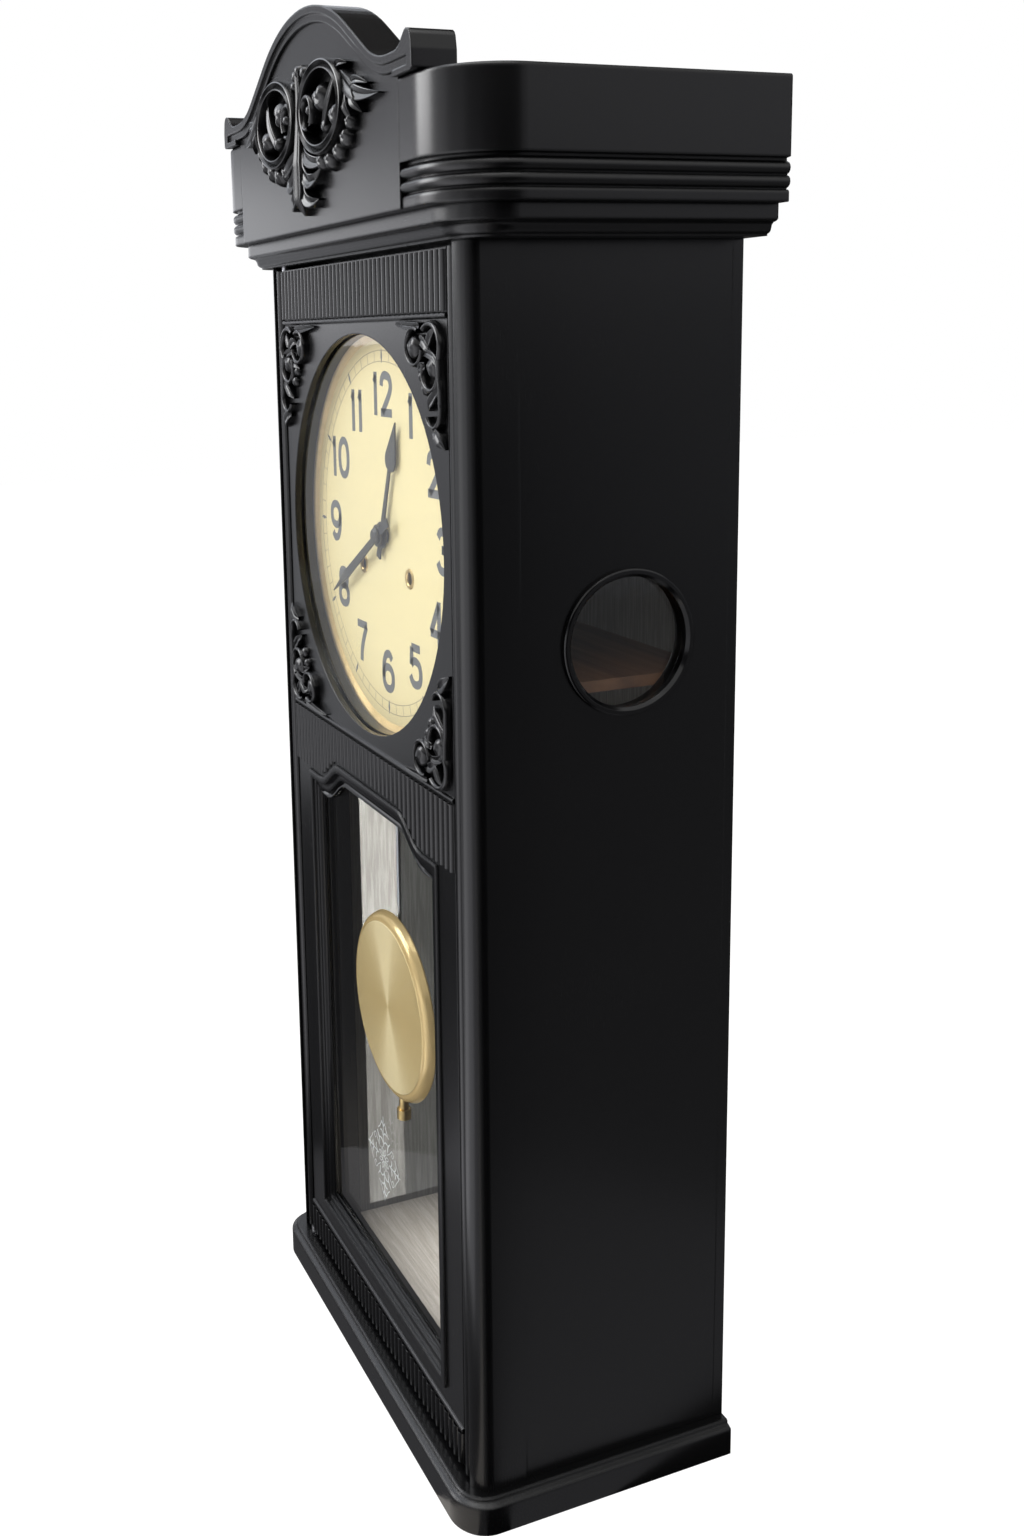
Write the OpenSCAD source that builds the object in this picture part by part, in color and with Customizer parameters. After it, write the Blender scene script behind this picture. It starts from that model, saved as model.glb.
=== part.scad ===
// Pendulum wall clock in a black lacquered wooden case.
// Millimetres. +Z is up, the dial faces -Y, and +X is to the right of someone who looks at the dial.
// The origin is under the middle of the clock, at the height of the plinth's underside.

/* [Case] */
// Width of the case over its two corner posts
case_w = 280; // [240:1:320]
// Depth of the case from the front of the posts to the back
case_d = 154; // [140:1:190]
// Height of the case between the plinth and the cornice
case_h = 648; // [600:1:760]
// Radius of the rounded corner posts
post_r = 10; // [6:0.5:12]
// Width of a corner post seen from the front
post_w = 9; // [8:0.5:14]
// Depth of a corner post along the side
post_d = 29.5; // [26:0.5:40]
// Thickness of the side boards
side_t = 12; // [8:0.5:16]
// How far the side boards lie back from the posts
side_step = 1; // [0.5:0.1:2]
// Thickness of the back board
back_t = 6; // [5:0.5:9]
// Thickness of the board that closes the case at the top
top_t = 12; // [10:0.5:18]

/* [Plinth] */
// Height of the plinth
plinth_h = 20; // [16:1:30]
// How far the plinth stands out at the sides
plinth_side = 8; // [5:0.5:14]
// How far the plinth stands out at the front
plinth_front = 10.5; // [6:0.5:16]
// Radius of the plinth's front corners
plinth_r = 20; // [14:1:24]

/* [Crown] */
// How far the crown stands out at the sides
crown_side = 34.5; // [28:0.5:40]
// How far the crown stands out at the front
crown_front = 21; // [16:0.5:28]
// Radius of the crown's front corners
crown_r = 38; // [34:1:44]
// Height of the crown above the case
crown_h = 72; // [64:1:90]
// Height of the cornice moulding under the reeds
cornice_h = 14.5; // [12:0.5:18]
// Height of one reed round the crown
crown_reed = 6.2; // [5:0.1:7]
// Thickness of the crown's side boards
crown_t = 22; // [16:1:26]
// Half the width of the pediment board between the corner blocks
pediment_half = 121.5; // [100:0.5:126]
// Thickness of the pediment board
pediment_t = 14; // [10:1:18]
// Rise of the arch above the crown
arch_rise = 53; // [40:1:60]
// Thickness of the arch moulding
arch_t = 8; // [6:0.5:10]
// Depth of the arch moulding from front to back
arch_d = 22; // [16:1:28]
// Relief of the carved ornaments
carving_t = 8; // [5:0.5:10]

/* [Door] */
// Gap between the door and a corner post
door_gap = 2.5; // [2:0.1:3]
// Gap above and below the door
door_end_gap = 2; // [1.5:0.1:3]
// Thickness of the door board
door_t = 12.5; // [11:0.5:15]
// How far the door board lies behind the front of the posts
door_back = 2.5; // [2:0.1:4]
// Radius of the round dial opening
dial_open_r = 111.4; // [95:0.1:112]
// Height of the dial's centre above the plinth
dial_z = 495.5; // [460:0.5:540]
// Side of the square panel round the dial
dial_square = 238; // [230:1:240]
// Number of reeds across the door
reeds = 40; // [24:1:44]
// Half the width of the pendulum window
window_half = 98; // [80:0.5:104]
// Height of the window's lower edge above the plinth
window_bottom = 34; // [28:0.5:60]
// Height of the window's shoulders above the plinth
window_shoulder = 336; // [300:1:345]
// Rise of the window's ogee head above its shoulders
window_rise = 15; // [8:0.5:16]
// Thickness of the glass panes
glass_t = 2.5; // [2:0.1:3]
// How far the door swings open
door_swing = 105; // [90:1:110]

/* [Side windows] */
// Radius of the glass that shows in a side window
port_r = 33; // [24:0.5:36]
// Width of the turned ring round a side window
port_ring = 4.4; // [3:0.1:7]
// Height of the side windows above the plinth
port_z = 452.5; // [430:0.5:520]
// Distance of the side windows from the front of the posts
port_y = 90; // [80:1:96]

/* [Dial and hands] */
// Radius of the dial plate
dial_r = 118; // [112:0.5:118]
// Distance of the dial's face behind the front of the posts
dial_y = 17.5; // [16.5:0.1:19]
// Half the distance between the winding holes
winding_x = 33.5; // [30:0.1:36]
// Length of the minute hand from the centre to its tip
minute_l = 84; // [70:1:90]
// Length of the hour hand from the centre to its tip
hour_l = 68; // [54:1:70]
// Minutes past the hour that the hands show
minutes = 40; // [0:1:59]

/* [Movement] */
// Width of the movement plates
plate_w = 118; // [112:1:130]
// Thickness of the movement plates
plate_t = 1.6; // [1.2:0.1:2]
// Distance between the movement plates
plate_gap = 30; // [28:1:36]
// Distance of the front plate behind the front of the posts
plate_y = 33.5; // [33:0.5:36]
// Radius of the escape wheel
escape_r = 14; // [12:0.5:15]

/* [Pendulum] */
// Radius of the bob over its bevelled rim
bob_r = 56.5; // [40:0.5:60]
// Width of the bob's bevel
bob_bevel = 5.5; // [3:0.5:8]
// Thickness of the bob
bob_t = 7.5; // [6:0.5:9]
// Height of the bob's centre above the plinth
bob_z = 214; // [180:1:240]
// Distance of the pendulum rod behind the front of the posts
rod_y = 21; // [20.5:0.1:21.5]
// Radius of the pendulum rod
rod_r = 1.25; // [1:0.05:1.4]
// Swing of the pendulum to each side in degrees
swing = 3.5; // [2:0.1:4]

/* [Hidden] */
$fn = 48;

eps = 0.01;
fit = 0.05;
seat = 0.02;
hw = case_w / 2;
total_d = case_d + crown_front + carving_t;
back_y = total_d / 2;
front_y = back_y - case_d;
foot = plinth_h;
case_top = foot + case_h;
inner_half = hw - side_step - side_t;

// Colours of the finishes
lacquer = [0.05, 0.05, 0.055];
brown_wood = [0.24, 0.15, 0.1];
brass = [0.78, 0.62, 0.3];
steel = [0.5, 0.5, 0.52];
hand_grey = [0.3, 0.3, 0.32];
cream = [0.97, 0.9, 0.73];
clear = [0.75, 0.85, 0.88, 0.35];

// Door sizes that follow from the case
door_half = hw - post_w - door_gap;
door_z0 = foot + door_end_gap;
door_z1 = case_top - door_end_gap;
door_face = front_y + door_back;
door_rear = door_face + door_t;
strip_w = 6;
groove_w = 3;
panel_half = door_half - strip_w - groove_w;
pivot_x = -(door_half - 6);
pivot_y = front_y + 5;
pin_r = 2;
pin_in = 6;
collar_r = 4;
centre_z = foot + dial_z;
square_z0 = centre_z - dial_square / 2;
square_z1 = centre_z + dial_square / 2;
reed_pitch = 2 * panel_half / reeds;
reed_r = reed_pitch * 0.44;
window_z0 = foot + window_bottom;
window_zs = foot + window_shoulder;
sight = 13;
pane_y = front_y + 6;

// Hinge, catch and stops
dial_t = 1;
stop_y = door_rear + 0.3;
frame_y = front_y + dial_y + dial_t + seat;
frame_t = front_y + post_d - frame_y;
frame_half = hw - post_w;
catch_x = door_half - 7;
catch_z = foot + 300;
catch_body_r = 4.5;

// Hanger plate in the back board
hanger_w = 50;
hanger_h = 44;
hanger_t = 1.6;
hanger_hole = 5;
hanger_z = case_top - 40;

// Dial and hands
dial_face = front_y + dial_y;
eyelet_r = 5;
minute_turn = -6 * minutes;
hour_turn = -minutes / 2;
minute_pipe_r = 2.6;
hour_pipe_r = 3.9;
minute_y = front_y + 12;
hour_y = front_y + 14.6;
hand_t = 0.9;

// Motion work: teeth, pitch and the stud's place
motion_y = dial_face + dial_t + 5.6;
minute_gear = 18;
wheel_gear = 54;
wheel_pinion = 12;
hour_gear = 48;
motion_module = 0.6;
motion_reach = (minute_gear + wheel_gear) * motion_module / 2;
hour_module = 2 * motion_reach / (wheel_pinion + hour_gear);
motion_turn = 270;
motion_x = 0;
motion_z = centre_z - motion_reach;

// Going train: arbor places in X and Z
centre_arbor_r = 1.5;
arbor_r = 3;
barrel_module = 0.8;
barrel_teeth = 78;
centre_leaves = 20;
barrel_pitch_r = barrel_teeth * barrel_module / 2;
leaf_pitch_r = centre_leaves * barrel_module / 2;
barrel_drop = sqrt(pow(barrel_pitch_r + leaf_pitch_r, 2) - winding_x * winding_x);
barrel_z = centre_z - barrel_drop;
centre_teeth = 80;
third_leaves = 8;
third_module = 0.55;
third_reach = (centre_teeth + third_leaves) * third_module / 2;
third_turn = 38;
third_x = third_reach * cos(third_turn);
third_z = centre_z + third_reach * sin(third_turn);
third_teeth = 84;
escape_leaves = 8;
escape_module = 0.5;
escape_teeth = 30;
escape_reach = (third_teeth + escape_leaves) * escape_module / 2;
escape_z = third_z + sqrt(pow(escape_reach, 2) - third_x * third_x);
escape_dir = atan2(escape_z - third_z, -third_x);
pallet_z = escape_z + 1.42 * escape_r;

// Strike train: arbor places in X and Z
pin_teeth = 72;
pin_leaves = 12;
pin_dir = 100;
pin_reach = barrel_pitch_r + pin_leaves * barrel_module / 2;
pin_x = -winding_x + pin_reach * cos(pin_dir);
pin_z = barrel_z + pin_reach * sin(pin_dir);
fly_leaves = 8;
fly_module = 0.5;
fly_reach = (pin_teeth + fly_leaves) * fly_module / 2;
fly_dir = 60;
fly_x = pin_x + fly_reach * cos(fly_dir);
fly_z = pin_z + fly_reach * sin(fly_dir);
hammer_x = -8;
hammer_arm = 35;
hammer_z = centre_z - 44;

// Levels of the movement from front to back
plate_front = front_y + plate_y;
plate_back = plate_front + plate_t + plate_gap;
seat_top = centre_z - 64;
seat_t = 6;
plate_bottom = seat_top;
plate_top = pallet_z + 14;
pillar_r = 3;
pillar_inset = 7;
drum_r = 27;
drum_l = 19;
drum_y = plate_front + plate_t + 1;
wheel_y = drum_y + drum_l + 2.5;
escape_y = plate_front - 4.6;

// Gong under the seat board
gong_z = seat_top - 62;
gong_y = plate_back + plate_t + 16;
gong_r0 = 10;
gong_step = 7;
gong_turns = 3;
gong_w = 2.6;

// Pendulum
nut_drop = 3.4;
bob_face = front_y + rod_y - rod_r - 0.35 - bob_t;

// A disc or tube whose axis runs along Y, from y to y + l
module along_y(x, y, z, r, l, bore = 0) {
  translate([x, y, z]) rotate([-90, 0, 0]) difference() {
    cylinder(r = r, h = l);
    if (bore > 0) translate([0, 0, -1]) cylinder(r = bore, h = l + 2);
  }
}

// An outline in X and Z, pushed back along Y from y to y + l
module slab_y(y, l) {
  translate([0, y + l, 0]) rotate([90, 0, 0]) linear_extrude(l) children();
}

// Points on an arc, from angle a0 to a1, in n steps
function arc(cx, cy, r, a0, a1, n) =
  [for (i = [0:n]) let (a = a0 + (a1 - a0) * i / n) [cx + r * cos(a), cy + r * sin(a)]];

// A moulded edge round the two sides and the front. The profile holds [inset, height] points,
// inset 0 being the outermost face.
module wrap_edge(profile, half_w, y_front, y_back, r, left = true, right = true, front_from = 0) {
  if (right) {
    translate([half_w, y_back, 0]) rotate([90, 0, 0])
      linear_extrude(y_back - y_front - r) polygon(profile);
    translate([half_w - r, y_front + r, 0]) rotate([0, 0, -90]) rotate_extrude(angle = 90)
      translate([r, 0]) polygon(profile);
  }
  if (left) {
    translate([-half_w, y_front + r, 0]) rotate([90, 0, 180])
      linear_extrude(y_back - y_front - r) polygon(profile);
    translate([-half_w + r, y_front + r, 0]) rotate([0, 0, 180]) rotate_extrude(angle = 90)
      translate([r, 0]) polygon(profile);
  }
  if (left && right)
    translate([-half_w + r, y_front, 0]) rotate([90, 0, -90]) mirror([0, 0, 1])
      linear_extrude(2 * (half_w - r)) polygon(profile);
  else
    translate([right ? front_from : -half_w + r, y_front, 0]) rotate([90, 0, -90]) mirror([0, 0, 1])
      linear_extrude(half_w - r - front_from) polygon(profile);
}

// A whole slab with a moulded edge on its sides and front
module moulded_slab(profile, half_w, y_front, y_back, r, z0, z1) {
  wrap_edge(profile, half_w, y_front, y_back, r);
  translate([-half_w + r - 2, y_front + r - 2, z0])
    cube([2 * (half_w - r + 2), y_back - y_front - r + 2, z1 - z0]);
}

module plinth() {
  half = hw + plinth_side;
  y0 = front_y - plinth_front;
  profile = concat(
    [[-plinth_r + 2, 0], [-1, 0], [0, 1], [0, plinth_h - 4]],
    arc(-1.2, plinth_h - 4, 1.2, 0, 70, 4),
    [[-3, plinth_h - 2], [-3.4, plinth_h - 2], [-3.4, plinth_h - 0.6], [-4, plinth_h]],
    [[-plinth_r + 2, plinth_h]]);
  color(lacquer) difference() {
    moulded_slab(profile, half, y0, back_y, plinth_r, 0, plinth_h);
    translate([pivot_x, pivot_y, plinth_h - pin_in - 1]) cylinder(r = pin_r + fit, h = pin_in + 2);
  }
}

module back_board() {
  color(lacquer) difference() {
    translate([-hw + side_step, back_y - back_t, foot]) cube([2 * (hw - side_step), back_t, case_h]);
    along_y(0, back_y - back_t - 1, hanger_z, 14, back_t + 2);
    translate([-hanger_w / 2, back_y - hanger_t, hanger_z - hanger_h / 2])
      cube([hanger_w, hanger_t + 1, hanger_h]);
  }
}
module wall_hanger() {
  color(steel) difference() {
    translate([-hanger_w / 2 + seat, back_y - hanger_t, hanger_z - hanger_h / 2 + seat])
      cube([hanger_w - 2 * seat, hanger_t, hanger_h - 2 * seat]);
    along_y(0, back_y - hanger_t - 1, hanger_z, hanger_hole, hanger_t + 2);
  }
}

// The side board carries the round window
module side_board(s) {
  color(lacquer) difference() {
    translate([s > 0 ? inner_half : -inner_half - side_t, front_y + post_d, foot])
      cube([side_t, case_d - post_d - back_t, case_h]);
    translate([s * (inner_half - 1), front_y + port_y, foot + port_z]) rotate([0, s * 90, 0])
      cylinder(r = port_r + 2, h = side_t + 2);
  }
}
module side_board_left() { side_board(-1); }
module side_board_right() { side_board(1); }

// The corner post is a board on edge with its outer front corner rounded
module corner_post(s) {
  color(lacquer) translate([0, 0, foot]) linear_extrude(case_h) mirror([s < 0 ? 1 : 0, 0]) union() {
    translate([hw - post_w, front_y + post_r]) square([post_w, post_d - post_r]);
    intersection() {
      translate([hw - post_r, front_y + post_r]) circle(r = post_r);
      translate([hw - post_w, front_y]) square([post_w, post_r + 1]);
    }
  }
}
module corner_post_left() { corner_post(-1); }
module corner_post_right() { corner_post(1); }

// The board that closes the case; the door's upper pivot turns in it
module top_board() {
  color(lacquer) difference() {
    translate([-inner_half, front_y, case_top])
      cube([2 * inner_half, case_d, top_t]);
    translate([pivot_x, pivot_y, case_top - 1]) cylinder(r = pin_r + fit, h = pin_in + 1.5);
  }
}

// The inner frame that the door closes against and that the dial is fixed to
throat_r = 96;
module face_frame() {
  color(lacquer) difference() {
    union() {
      translate([-frame_half, frame_y, foot]) cube([2 * frame_half, frame_t, case_h]);
      // Stop that the door's free edge closes against
      translate([dial_r + 2.5, stop_y, foot])
        cube([frame_half - dial_r - 2.5, frame_y - stop_y + eps, case_h]);
    }
    along_y(0, frame_y - 1, centre_z, throat_r, frame_t + 2);
    translate([-30, frame_y - 1, window_zs]) cube([60, frame_t + 2, centre_z - window_zs]);
    translate([-window_half - 4, frame_y - 1, foot + 16])
      cube([2 * window_half + 8, frame_t + 2, window_zs + window_rise - foot - 16]);
    along_y(catch_x, stop_y - 1, catch_z, catch_body_r, frame_t + 6);
  }
}

// The frieze and the wave moulding under the crown
module cornice() {
  inset = 8.5;
  half = hw + crown_side - inset;
  y0 = front_y - crown_front + inset;
  r = crown_r - inset;
  z0 = case_top;
  profile = concat(
    [[-r + 2, z0], [-8.2, z0], [-8.2, z0 + 1]],
    arc(-8.2, z0 + 4, 3, -90, -10, 5),
    arc(-2.2, z0 + 3.3, 3, 175, 95, 5),
    [[-1.2, z0 + 6.6], [0, z0 + 7.4], [0, z0 + cornice_h], [-r + 2, z0 + cornice_h]]);
  color(lacquer) difference() {
    moulded_slab(profile, half, y0, back_y, r, z0, z0 + cornice_h);
    translate([-inner_half - seat, front_y - seat, z0 - 1])
      cube([2 * (inner_half + seat), case_d + 1, cornice_h + 2]);
  }
}

// One side of the crown with its rounded corner block: three reeds below a plain face
reed_groove = 3;
module crown_side(s) {
  z0 = case_top + cornice_h;
  z1 = case_top + crown_h;
  rr = crown_reed / 2 - 0.2;
  reed = [for (i = [1:2]) each arc(-reed_groove + 0.1, z0 + crown_reed * (i + 0.5), rr, -80, 80, 6)];
  profile = concat(
    [[-crown_t, z0], [-1.2, z0], [-0.8, z0 + 0.4], [-0.8, z0 + crown_reed - 2]],
    arc(-2.3, z0 + crown_reed - 2, 1.5, 0, 80, 3),
    [[-reed_groove, z0 + crown_reed - 0.4]],
    reed,
    [[-reed_groove, z0 + 3 * crown_reed + 0.2], [-reed_groove, z0 + 3 * crown_reed + 1.4]],
    [[0, z0 + 3 * crown_reed + 1.8], [0, z1 - 1.6]],
    arc(-1.6, z1 - 1.6, 1.6, 15, 90, 4),
    [[-crown_t, z1]]);
  color(lacquer) wrap_edge(profile, hw + crown_side, front_y - crown_front, back_y, crown_r,
    left = s < 0, right = s > 0, front_from = pediment_half);
}
module crown_side_left() { mirror([1, 0, 0]) crown_side(1); }
module crown_side_right() { crown_side(1); }

crown_inner = hw + crown_side - crown_t;
dust_t = 6;
module crown_back_rail() {
  color(lacquer) translate([-crown_inner, back_y - 12, case_top + cornice_h])
    cube([2 * crown_inner, 12, crown_h - cornice_h - dust_t - 2]);
}
// The thin board that lies on top, between the crown's sides
module dust_board() {
  y0 = front_y - crown_front + pediment_t;
  y1 = front_y - crown_front + crown_t;
  r = crown_r - crown_t;
  color(lacquer) translate([0, 0, case_top + crown_h - dust_t - 2]) linear_extrude(dust_t) union() {
    translate([-pediment_half, y0]) square([2 * pediment_half, y1 - y0 + r]);
    polygon(concat(
      [[-crown_inner, back_y], [-crown_inner, y1 + r]],
      arc(-crown_inner + r, y1 + r, r - 0.1, 180, 270, 6),
      arc(crown_inner - r, y1 + r, r - 0.1, 270, 360, 6),
      [[crown_inner, y1 + r], [crown_inner, back_y]]));
  }
}

// The arch: a round crest, two straight falls and two hollow feet that run out level
crest_r = 120;
crest_a = 32;
foot_r = 50;
arch_end = 116;
ear_end = 144;
arch_top = case_top + crown_h + arch_rise;
fall_x = arch_end - (crest_r + foot_r) * sin(crest_a);
valley = arch_top - (crest_r + foot_r) * (1 - cos(crest_a)) - fall_x * tan(crest_a);
// Half of the arch's line, from the middle outwards, at depth d below its upper face
function arch_half(d) = concat(
  arc(0, arch_top - crest_r, crest_r - d, 90, 90 - crest_a, 10),
  arc(arch_end, valley + foot_r, foot_r + d, 270 - crest_a, 270, 6));
function flip(p) = [for (i = [len(p) - 1:-1:0]) [-p[i][0], p[i][1]]];
block_top = case_top + crown_h;
ear = concat(
  arc(124, valley + 12, 12, -90, -50, 3),
  arc(138.5, valley + 2.6, 4.6, 140, 20, 5),
  [[ear_end, valley - 2], [ear_end, block_top + 1], [ear_end - 2, block_top]]);

module arch_moulding() {
  under = concat(arch_half(arch_t), [[pediment_half, valley - arch_t], [pediment_half, block_top]]);
  outer = concat(arch_half(0), ear);
  band = concat(flip(outer), outer, [for (i = [len(under) - 1:-1:0]) under[i]],
    [for (p = under) if (p[0] > eps) [-p[0], p[1]]]);
  lip_under = concat(arch_half(arch_t * 0.5), [[ear_end - 6, valley - arch_t / 2]]);
  color(lacquer) difference() {
    slab_y(front_y - crown_front - 3, arch_d) polygon(band);
    slab_y(front_y - crown_front - 4, 2.4)
      polygon(concat(flip(lip_under), lip_under, [[ear_end - 6, valley - arch_t], [arch_end, valley - arch_t],
        [0, valley - arch_t - 60], [-arch_end, valley - arch_t], [-ear_end + 6, valley - arch_t]]));
  }
}

module pediment_board() {
  z0 = case_top + cornice_h;
  line = arch_half(arch_t + seat);
  half = concat(line, [[pediment_half - seat, valley - arch_t - seat], [pediment_half - seat, z0]]);
  color(lacquer) slab_y(front_y - crown_front, pediment_t) polygon(concat(flip(half), half));
}

// The outline of a carved stroke. Its middle line holds [x, z, half width] points.
function way(p, i) = let (a = p[max(i - 1, 0)], b = p[min(i + 1, len(p) - 1)],
  d = [b[0] - a[0], b[1] - a[1]]) d / norm(d);
function stroke(p) = let (n = len(p) - 1) concat(
  [for (i = [0:n]) let (d = way(p, i)) [p[i][0] - d[1] * p[i][2], p[i][1] + d[0] * p[i][2]]],
  [for (i = [n:-1:0]) let (d = way(p, i)) [p[i][0] + d[1] * p[i][2], p[i][1] - d[0] * p[i][2]]]);
// The middle line of a scroll: part of an oval from angle a0 to a1, its half width going from w0 to w1
function curl(x, z, rx, rz, a0, a1, w0, w1, n = 12) =
  [for (i = [0:n]) let (a = a0 + (a1 - a0) * i / n)
    [x + rx * cos(a), z + rz * sin(a), w0 + (w1 - w0) * i / n]];
function oval(x, z, rx, rz) = [for (i = [0:35]) [x + rx * cos(i * 10), z + rz * sin(i * 10)]];

// Ornament in the middle of the pediment, drawn from its centre: two big scrolls with berries and
// petals inside, a stem with a crest of lobes, hanging leaves, and a long leaf to each side
scroll_balls = [[18.5, 8, 3.6], [31, 12.5, 8], [53.5, 1, 6.8], [38, -2, 4.4], [6.5, 28.5, 3.8],
  [11, 24, 3.4], [34, -17.5, 6.2], [48, -17.5, 6.4], [61, -12.5, 6.2], [70, -5.5, 6.4]];
scroll_strokes = [
  curl(15.5, 7, 7.6, 8.2, -40, 290, 1.9, 1.9, 20),
  [[13, 0, 1.6], [18.5, 8, 1.6]],
  [[60, 23, 2.4], [68, 21, 5], [78, 16, 6.4], [88, 10.5, 5.4], [96, 7, 3.4], [103, 5, 0.6]],
  [[66, 6, 2], [73, 3, 4.4], [80, 3.5, 3.6], [87, 5.5, 0.8]],
  [[2, -10, 2.6], [5, -20, 4], [12, -26, 4.4], [20, -26, 3.2], [26, -21, 0.6]],
  [[2, -24, 3], [8, -34, 4], [14, -37, 3], [20, -36, 0.6]],
  [[4, -9, 2.4], [12, -15, 4], [22, -18, 3.4], [32, -18, 1.5]],
  [[38, -2, 2.4], [45, 7, 3], [50, 15, 2.4], [54, 23, 1.2]]];
stem_line = [[0, 30, 3.6], [0, 24, 3.2], [0, 10, 3.2], [0, -10, 4.4], [0, -24, 6], [0, -34, 5.4],
  [0, -43, 0.6]];
module pediment_carving() {
  y = front_y - crown_front - carving_t;
  l = carving_t - seat;
  color(lacquer) translate([0, 0, case_top + 64]) union() {
    slab_y(y, l) {
      polygon(stroke(stem_line));
      translate([0, 30]) circle(r = 4);
    }
    for (s = [0, 1]) mirror([s, 0, 0]) slab_y(y, l) {
      difference() {
        polygon(oval(35.5, 7.5, 31.5, 23));
        polygon(oval(35.5, 7.5, 26.3, 17.8));
      }
      for (b = scroll_balls) translate([b[0], b[1]]) circle(r = b[2], $fn = 32);
      for (p = scroll_strokes) polygon(stroke(p));
    }
  }
}

// The four ornaments that fill the corners of the dial panel, drawn from the dial's centre
corner_balls = [[84, 104, 6.4], [107, 94.5, 6], [97, 84, 3.6], [93, 90, 3.2]];
corner_strokes = [
  [[61, 116, 0.4], [70, 115.4, 1.7], [82, 114.6, 2.2], [93, 114.4, 1.6]],
  curl(87, 104.5, 9.6, 9, 60, 350, 1.5, 1.2, 18),
  curl(105.5, 104.5, 11.6, 10.8, 130, -40, 1.6, 1.9, 14),
  [[92, 106.5, 0.5], [96, 107.5, 2.8], [101, 105, 2.6], [106, 101, 1.2]],
  [[101, 102, 0.8], [104.5, 107, 2.8], [108, 111, 2.2], [110, 113.5, 0.6]],
  [[93, 100, 0.6], [101, 101.5, 2], [110, 99.5, 2.4], [116, 95, 1.8]],
  curl(106, 92, 9.2, 8.6, 150, 420, 1.5, 1.5, 18),
  [[89, 92, 0.5], [94, 94.5, 2.4], [100, 95, 2]],
  [[115.5, 98, 1.9], [116, 90, 1.8], [117, 84, 1.8], [117.2, 77, 1.7]],
  curl(109, 75, 8.4, 9.4, 20, -150, 1.7, 1.2, 14),
  [[101, 74, 0.8], [106, 78, 3], [111, 81.5, 2.6], [117, 85, 1.4]],
  [[106, 64, 1.4], [111, 62.5, 3.6], [115, 59.5, 3.4], [118.4, 55.8, 0.6]]];
corner_t = 4.4;
module door_carvings() {
  color(lacquer)
    for (sx = [0, 1]) for (sz = [0, 1])
      translate([0, 0, centre_z]) mirror([sx, 0, 0]) mirror([0, 0, sz])
        slab_y(door_face - corner_t, corner_t - seat) union() {
          for (b = corner_balls) translate([b[0], b[1]]) circle(r = b[2], $fn = 32);
          for (p = corner_strokes) polygon(stroke(p));
        }
}

// Half of the window's head at inset d: level shoulder, ogee rise, level top
ogee_in = 45;
ogee_out = 78;
function window_head(d) = concat(
  [[window_half - d, window_zs - d]],
  [for (i = [0:8]) let (x = ogee_out - (ogee_out - ogee_in) * i / 8)
    [x - d * 0.3, window_zs - d + window_rise * (1 - cos(180 * i / 8)) / 2]]);
function window_line(d) = let (h = window_head(d)) concat(
  [[window_half - d, window_z0 + d]], h, flip(h), [[-window_half + d, window_z0 + d]]);

module door_frame() {
  color(lacquer) difference() {
    union() {
      translate([-door_half, door_face, door_z0]) cube([2 * door_half, door_t, door_z1 - door_z0]);
      // Raised strips along the two upright edges
      for (s = [-1, 1])
        translate([s * (door_half - strip_w / 2), door_face + 1, door_z0]) intersection() {
          cylinder(r = strip_w / 2, h = door_z1 - door_z0);
          translate([-strip_w, -strip_w, -1]) cube([2 * strip_w, strip_w, door_z1 - door_z0 + 2]);
        }
      // Level beads above and below the dial panel, and the sill under the window
      for (z = [square_z0, square_z1, window_z0 - 11])
        translate([-panel_half, door_face, z]) rotate([0, 90, 0]) intersection() {
          cylinder(r = 1.5, h = 2 * panel_half);
          translate([-2, -2, -1]) cube([4, 3, 2 * panel_half + 2]);
        }
    }
    // Grooves that part the strips from the panel
    for (s = [-1, 1])
      translate([s * (panel_half + groove_w / 2) - groove_w / 2, door_face - 1, door_z0 - 1])
        cube([groove_w, 4, door_z1 - door_z0 + 2]);
    along_y(0, door_face - 4, centre_z, dial_open_r, door_t + 8);
    along_y(0, pane_y - 0.2, centre_z, dial_open_r + 3, door_t + 8);
    slab_y(door_face - 4, door_t + 8) polygon(window_line(0));
    for (z = [door_z0 - 1, door_z1 - 12])
      translate([pivot_x, pivot_y, z]) cylinder(r = pin_r, h = 13);
    along_y(catch_x, door_rear - 5, catch_z, 1.5, 6);
  }
}

// Height of the window's head line above x
function head_z(x) = let (a = abs(x))
  a >= ogee_out ? window_zs :
  a <= ogee_in ? window_zs + window_rise :
  window_zs + window_rise * (1 - cos(180 * (ogee_out - a) / (ogee_out - ogee_in))) / 2;
// Three bands of half-round reeds on a thin backing
module reed_band(z1, lower) {
  backing = 0.4;
  for (i = [0:reeds - 1]) {
    x = -panel_half + reed_pitch * (i + 0.5);
    z0 = lower ? foot + door_end_gap + 1 : z1 > centre_z ? square_z1 + 2 : head_z(x) + 3;
    translate([x, door_face - seat, z0]) {
      translate([-reed_pitch / 2 - (i > 0 ? eps : 0), -backing, 0])
        cube([reed_pitch + (i > 0 ? eps : 0), backing, z1 - z0]);
      translate([0, 0.4, 0]) intersection() {
        cylinder(r = reed_r, h = z1 - z0, $fn = 24);
        translate([-reed_r, -reed_r, 0]) cube([2 * reed_r, reed_r - 0.5, z1 - z0]);
      }
    }
  }
}
module door_reeds() {
  color(lacquer) {
    reed_band(door_z1 - 1, false);
    reed_band(square_z0 - 2, false);
    reed_band(window_z0 - 13, true);
  }
}

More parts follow.
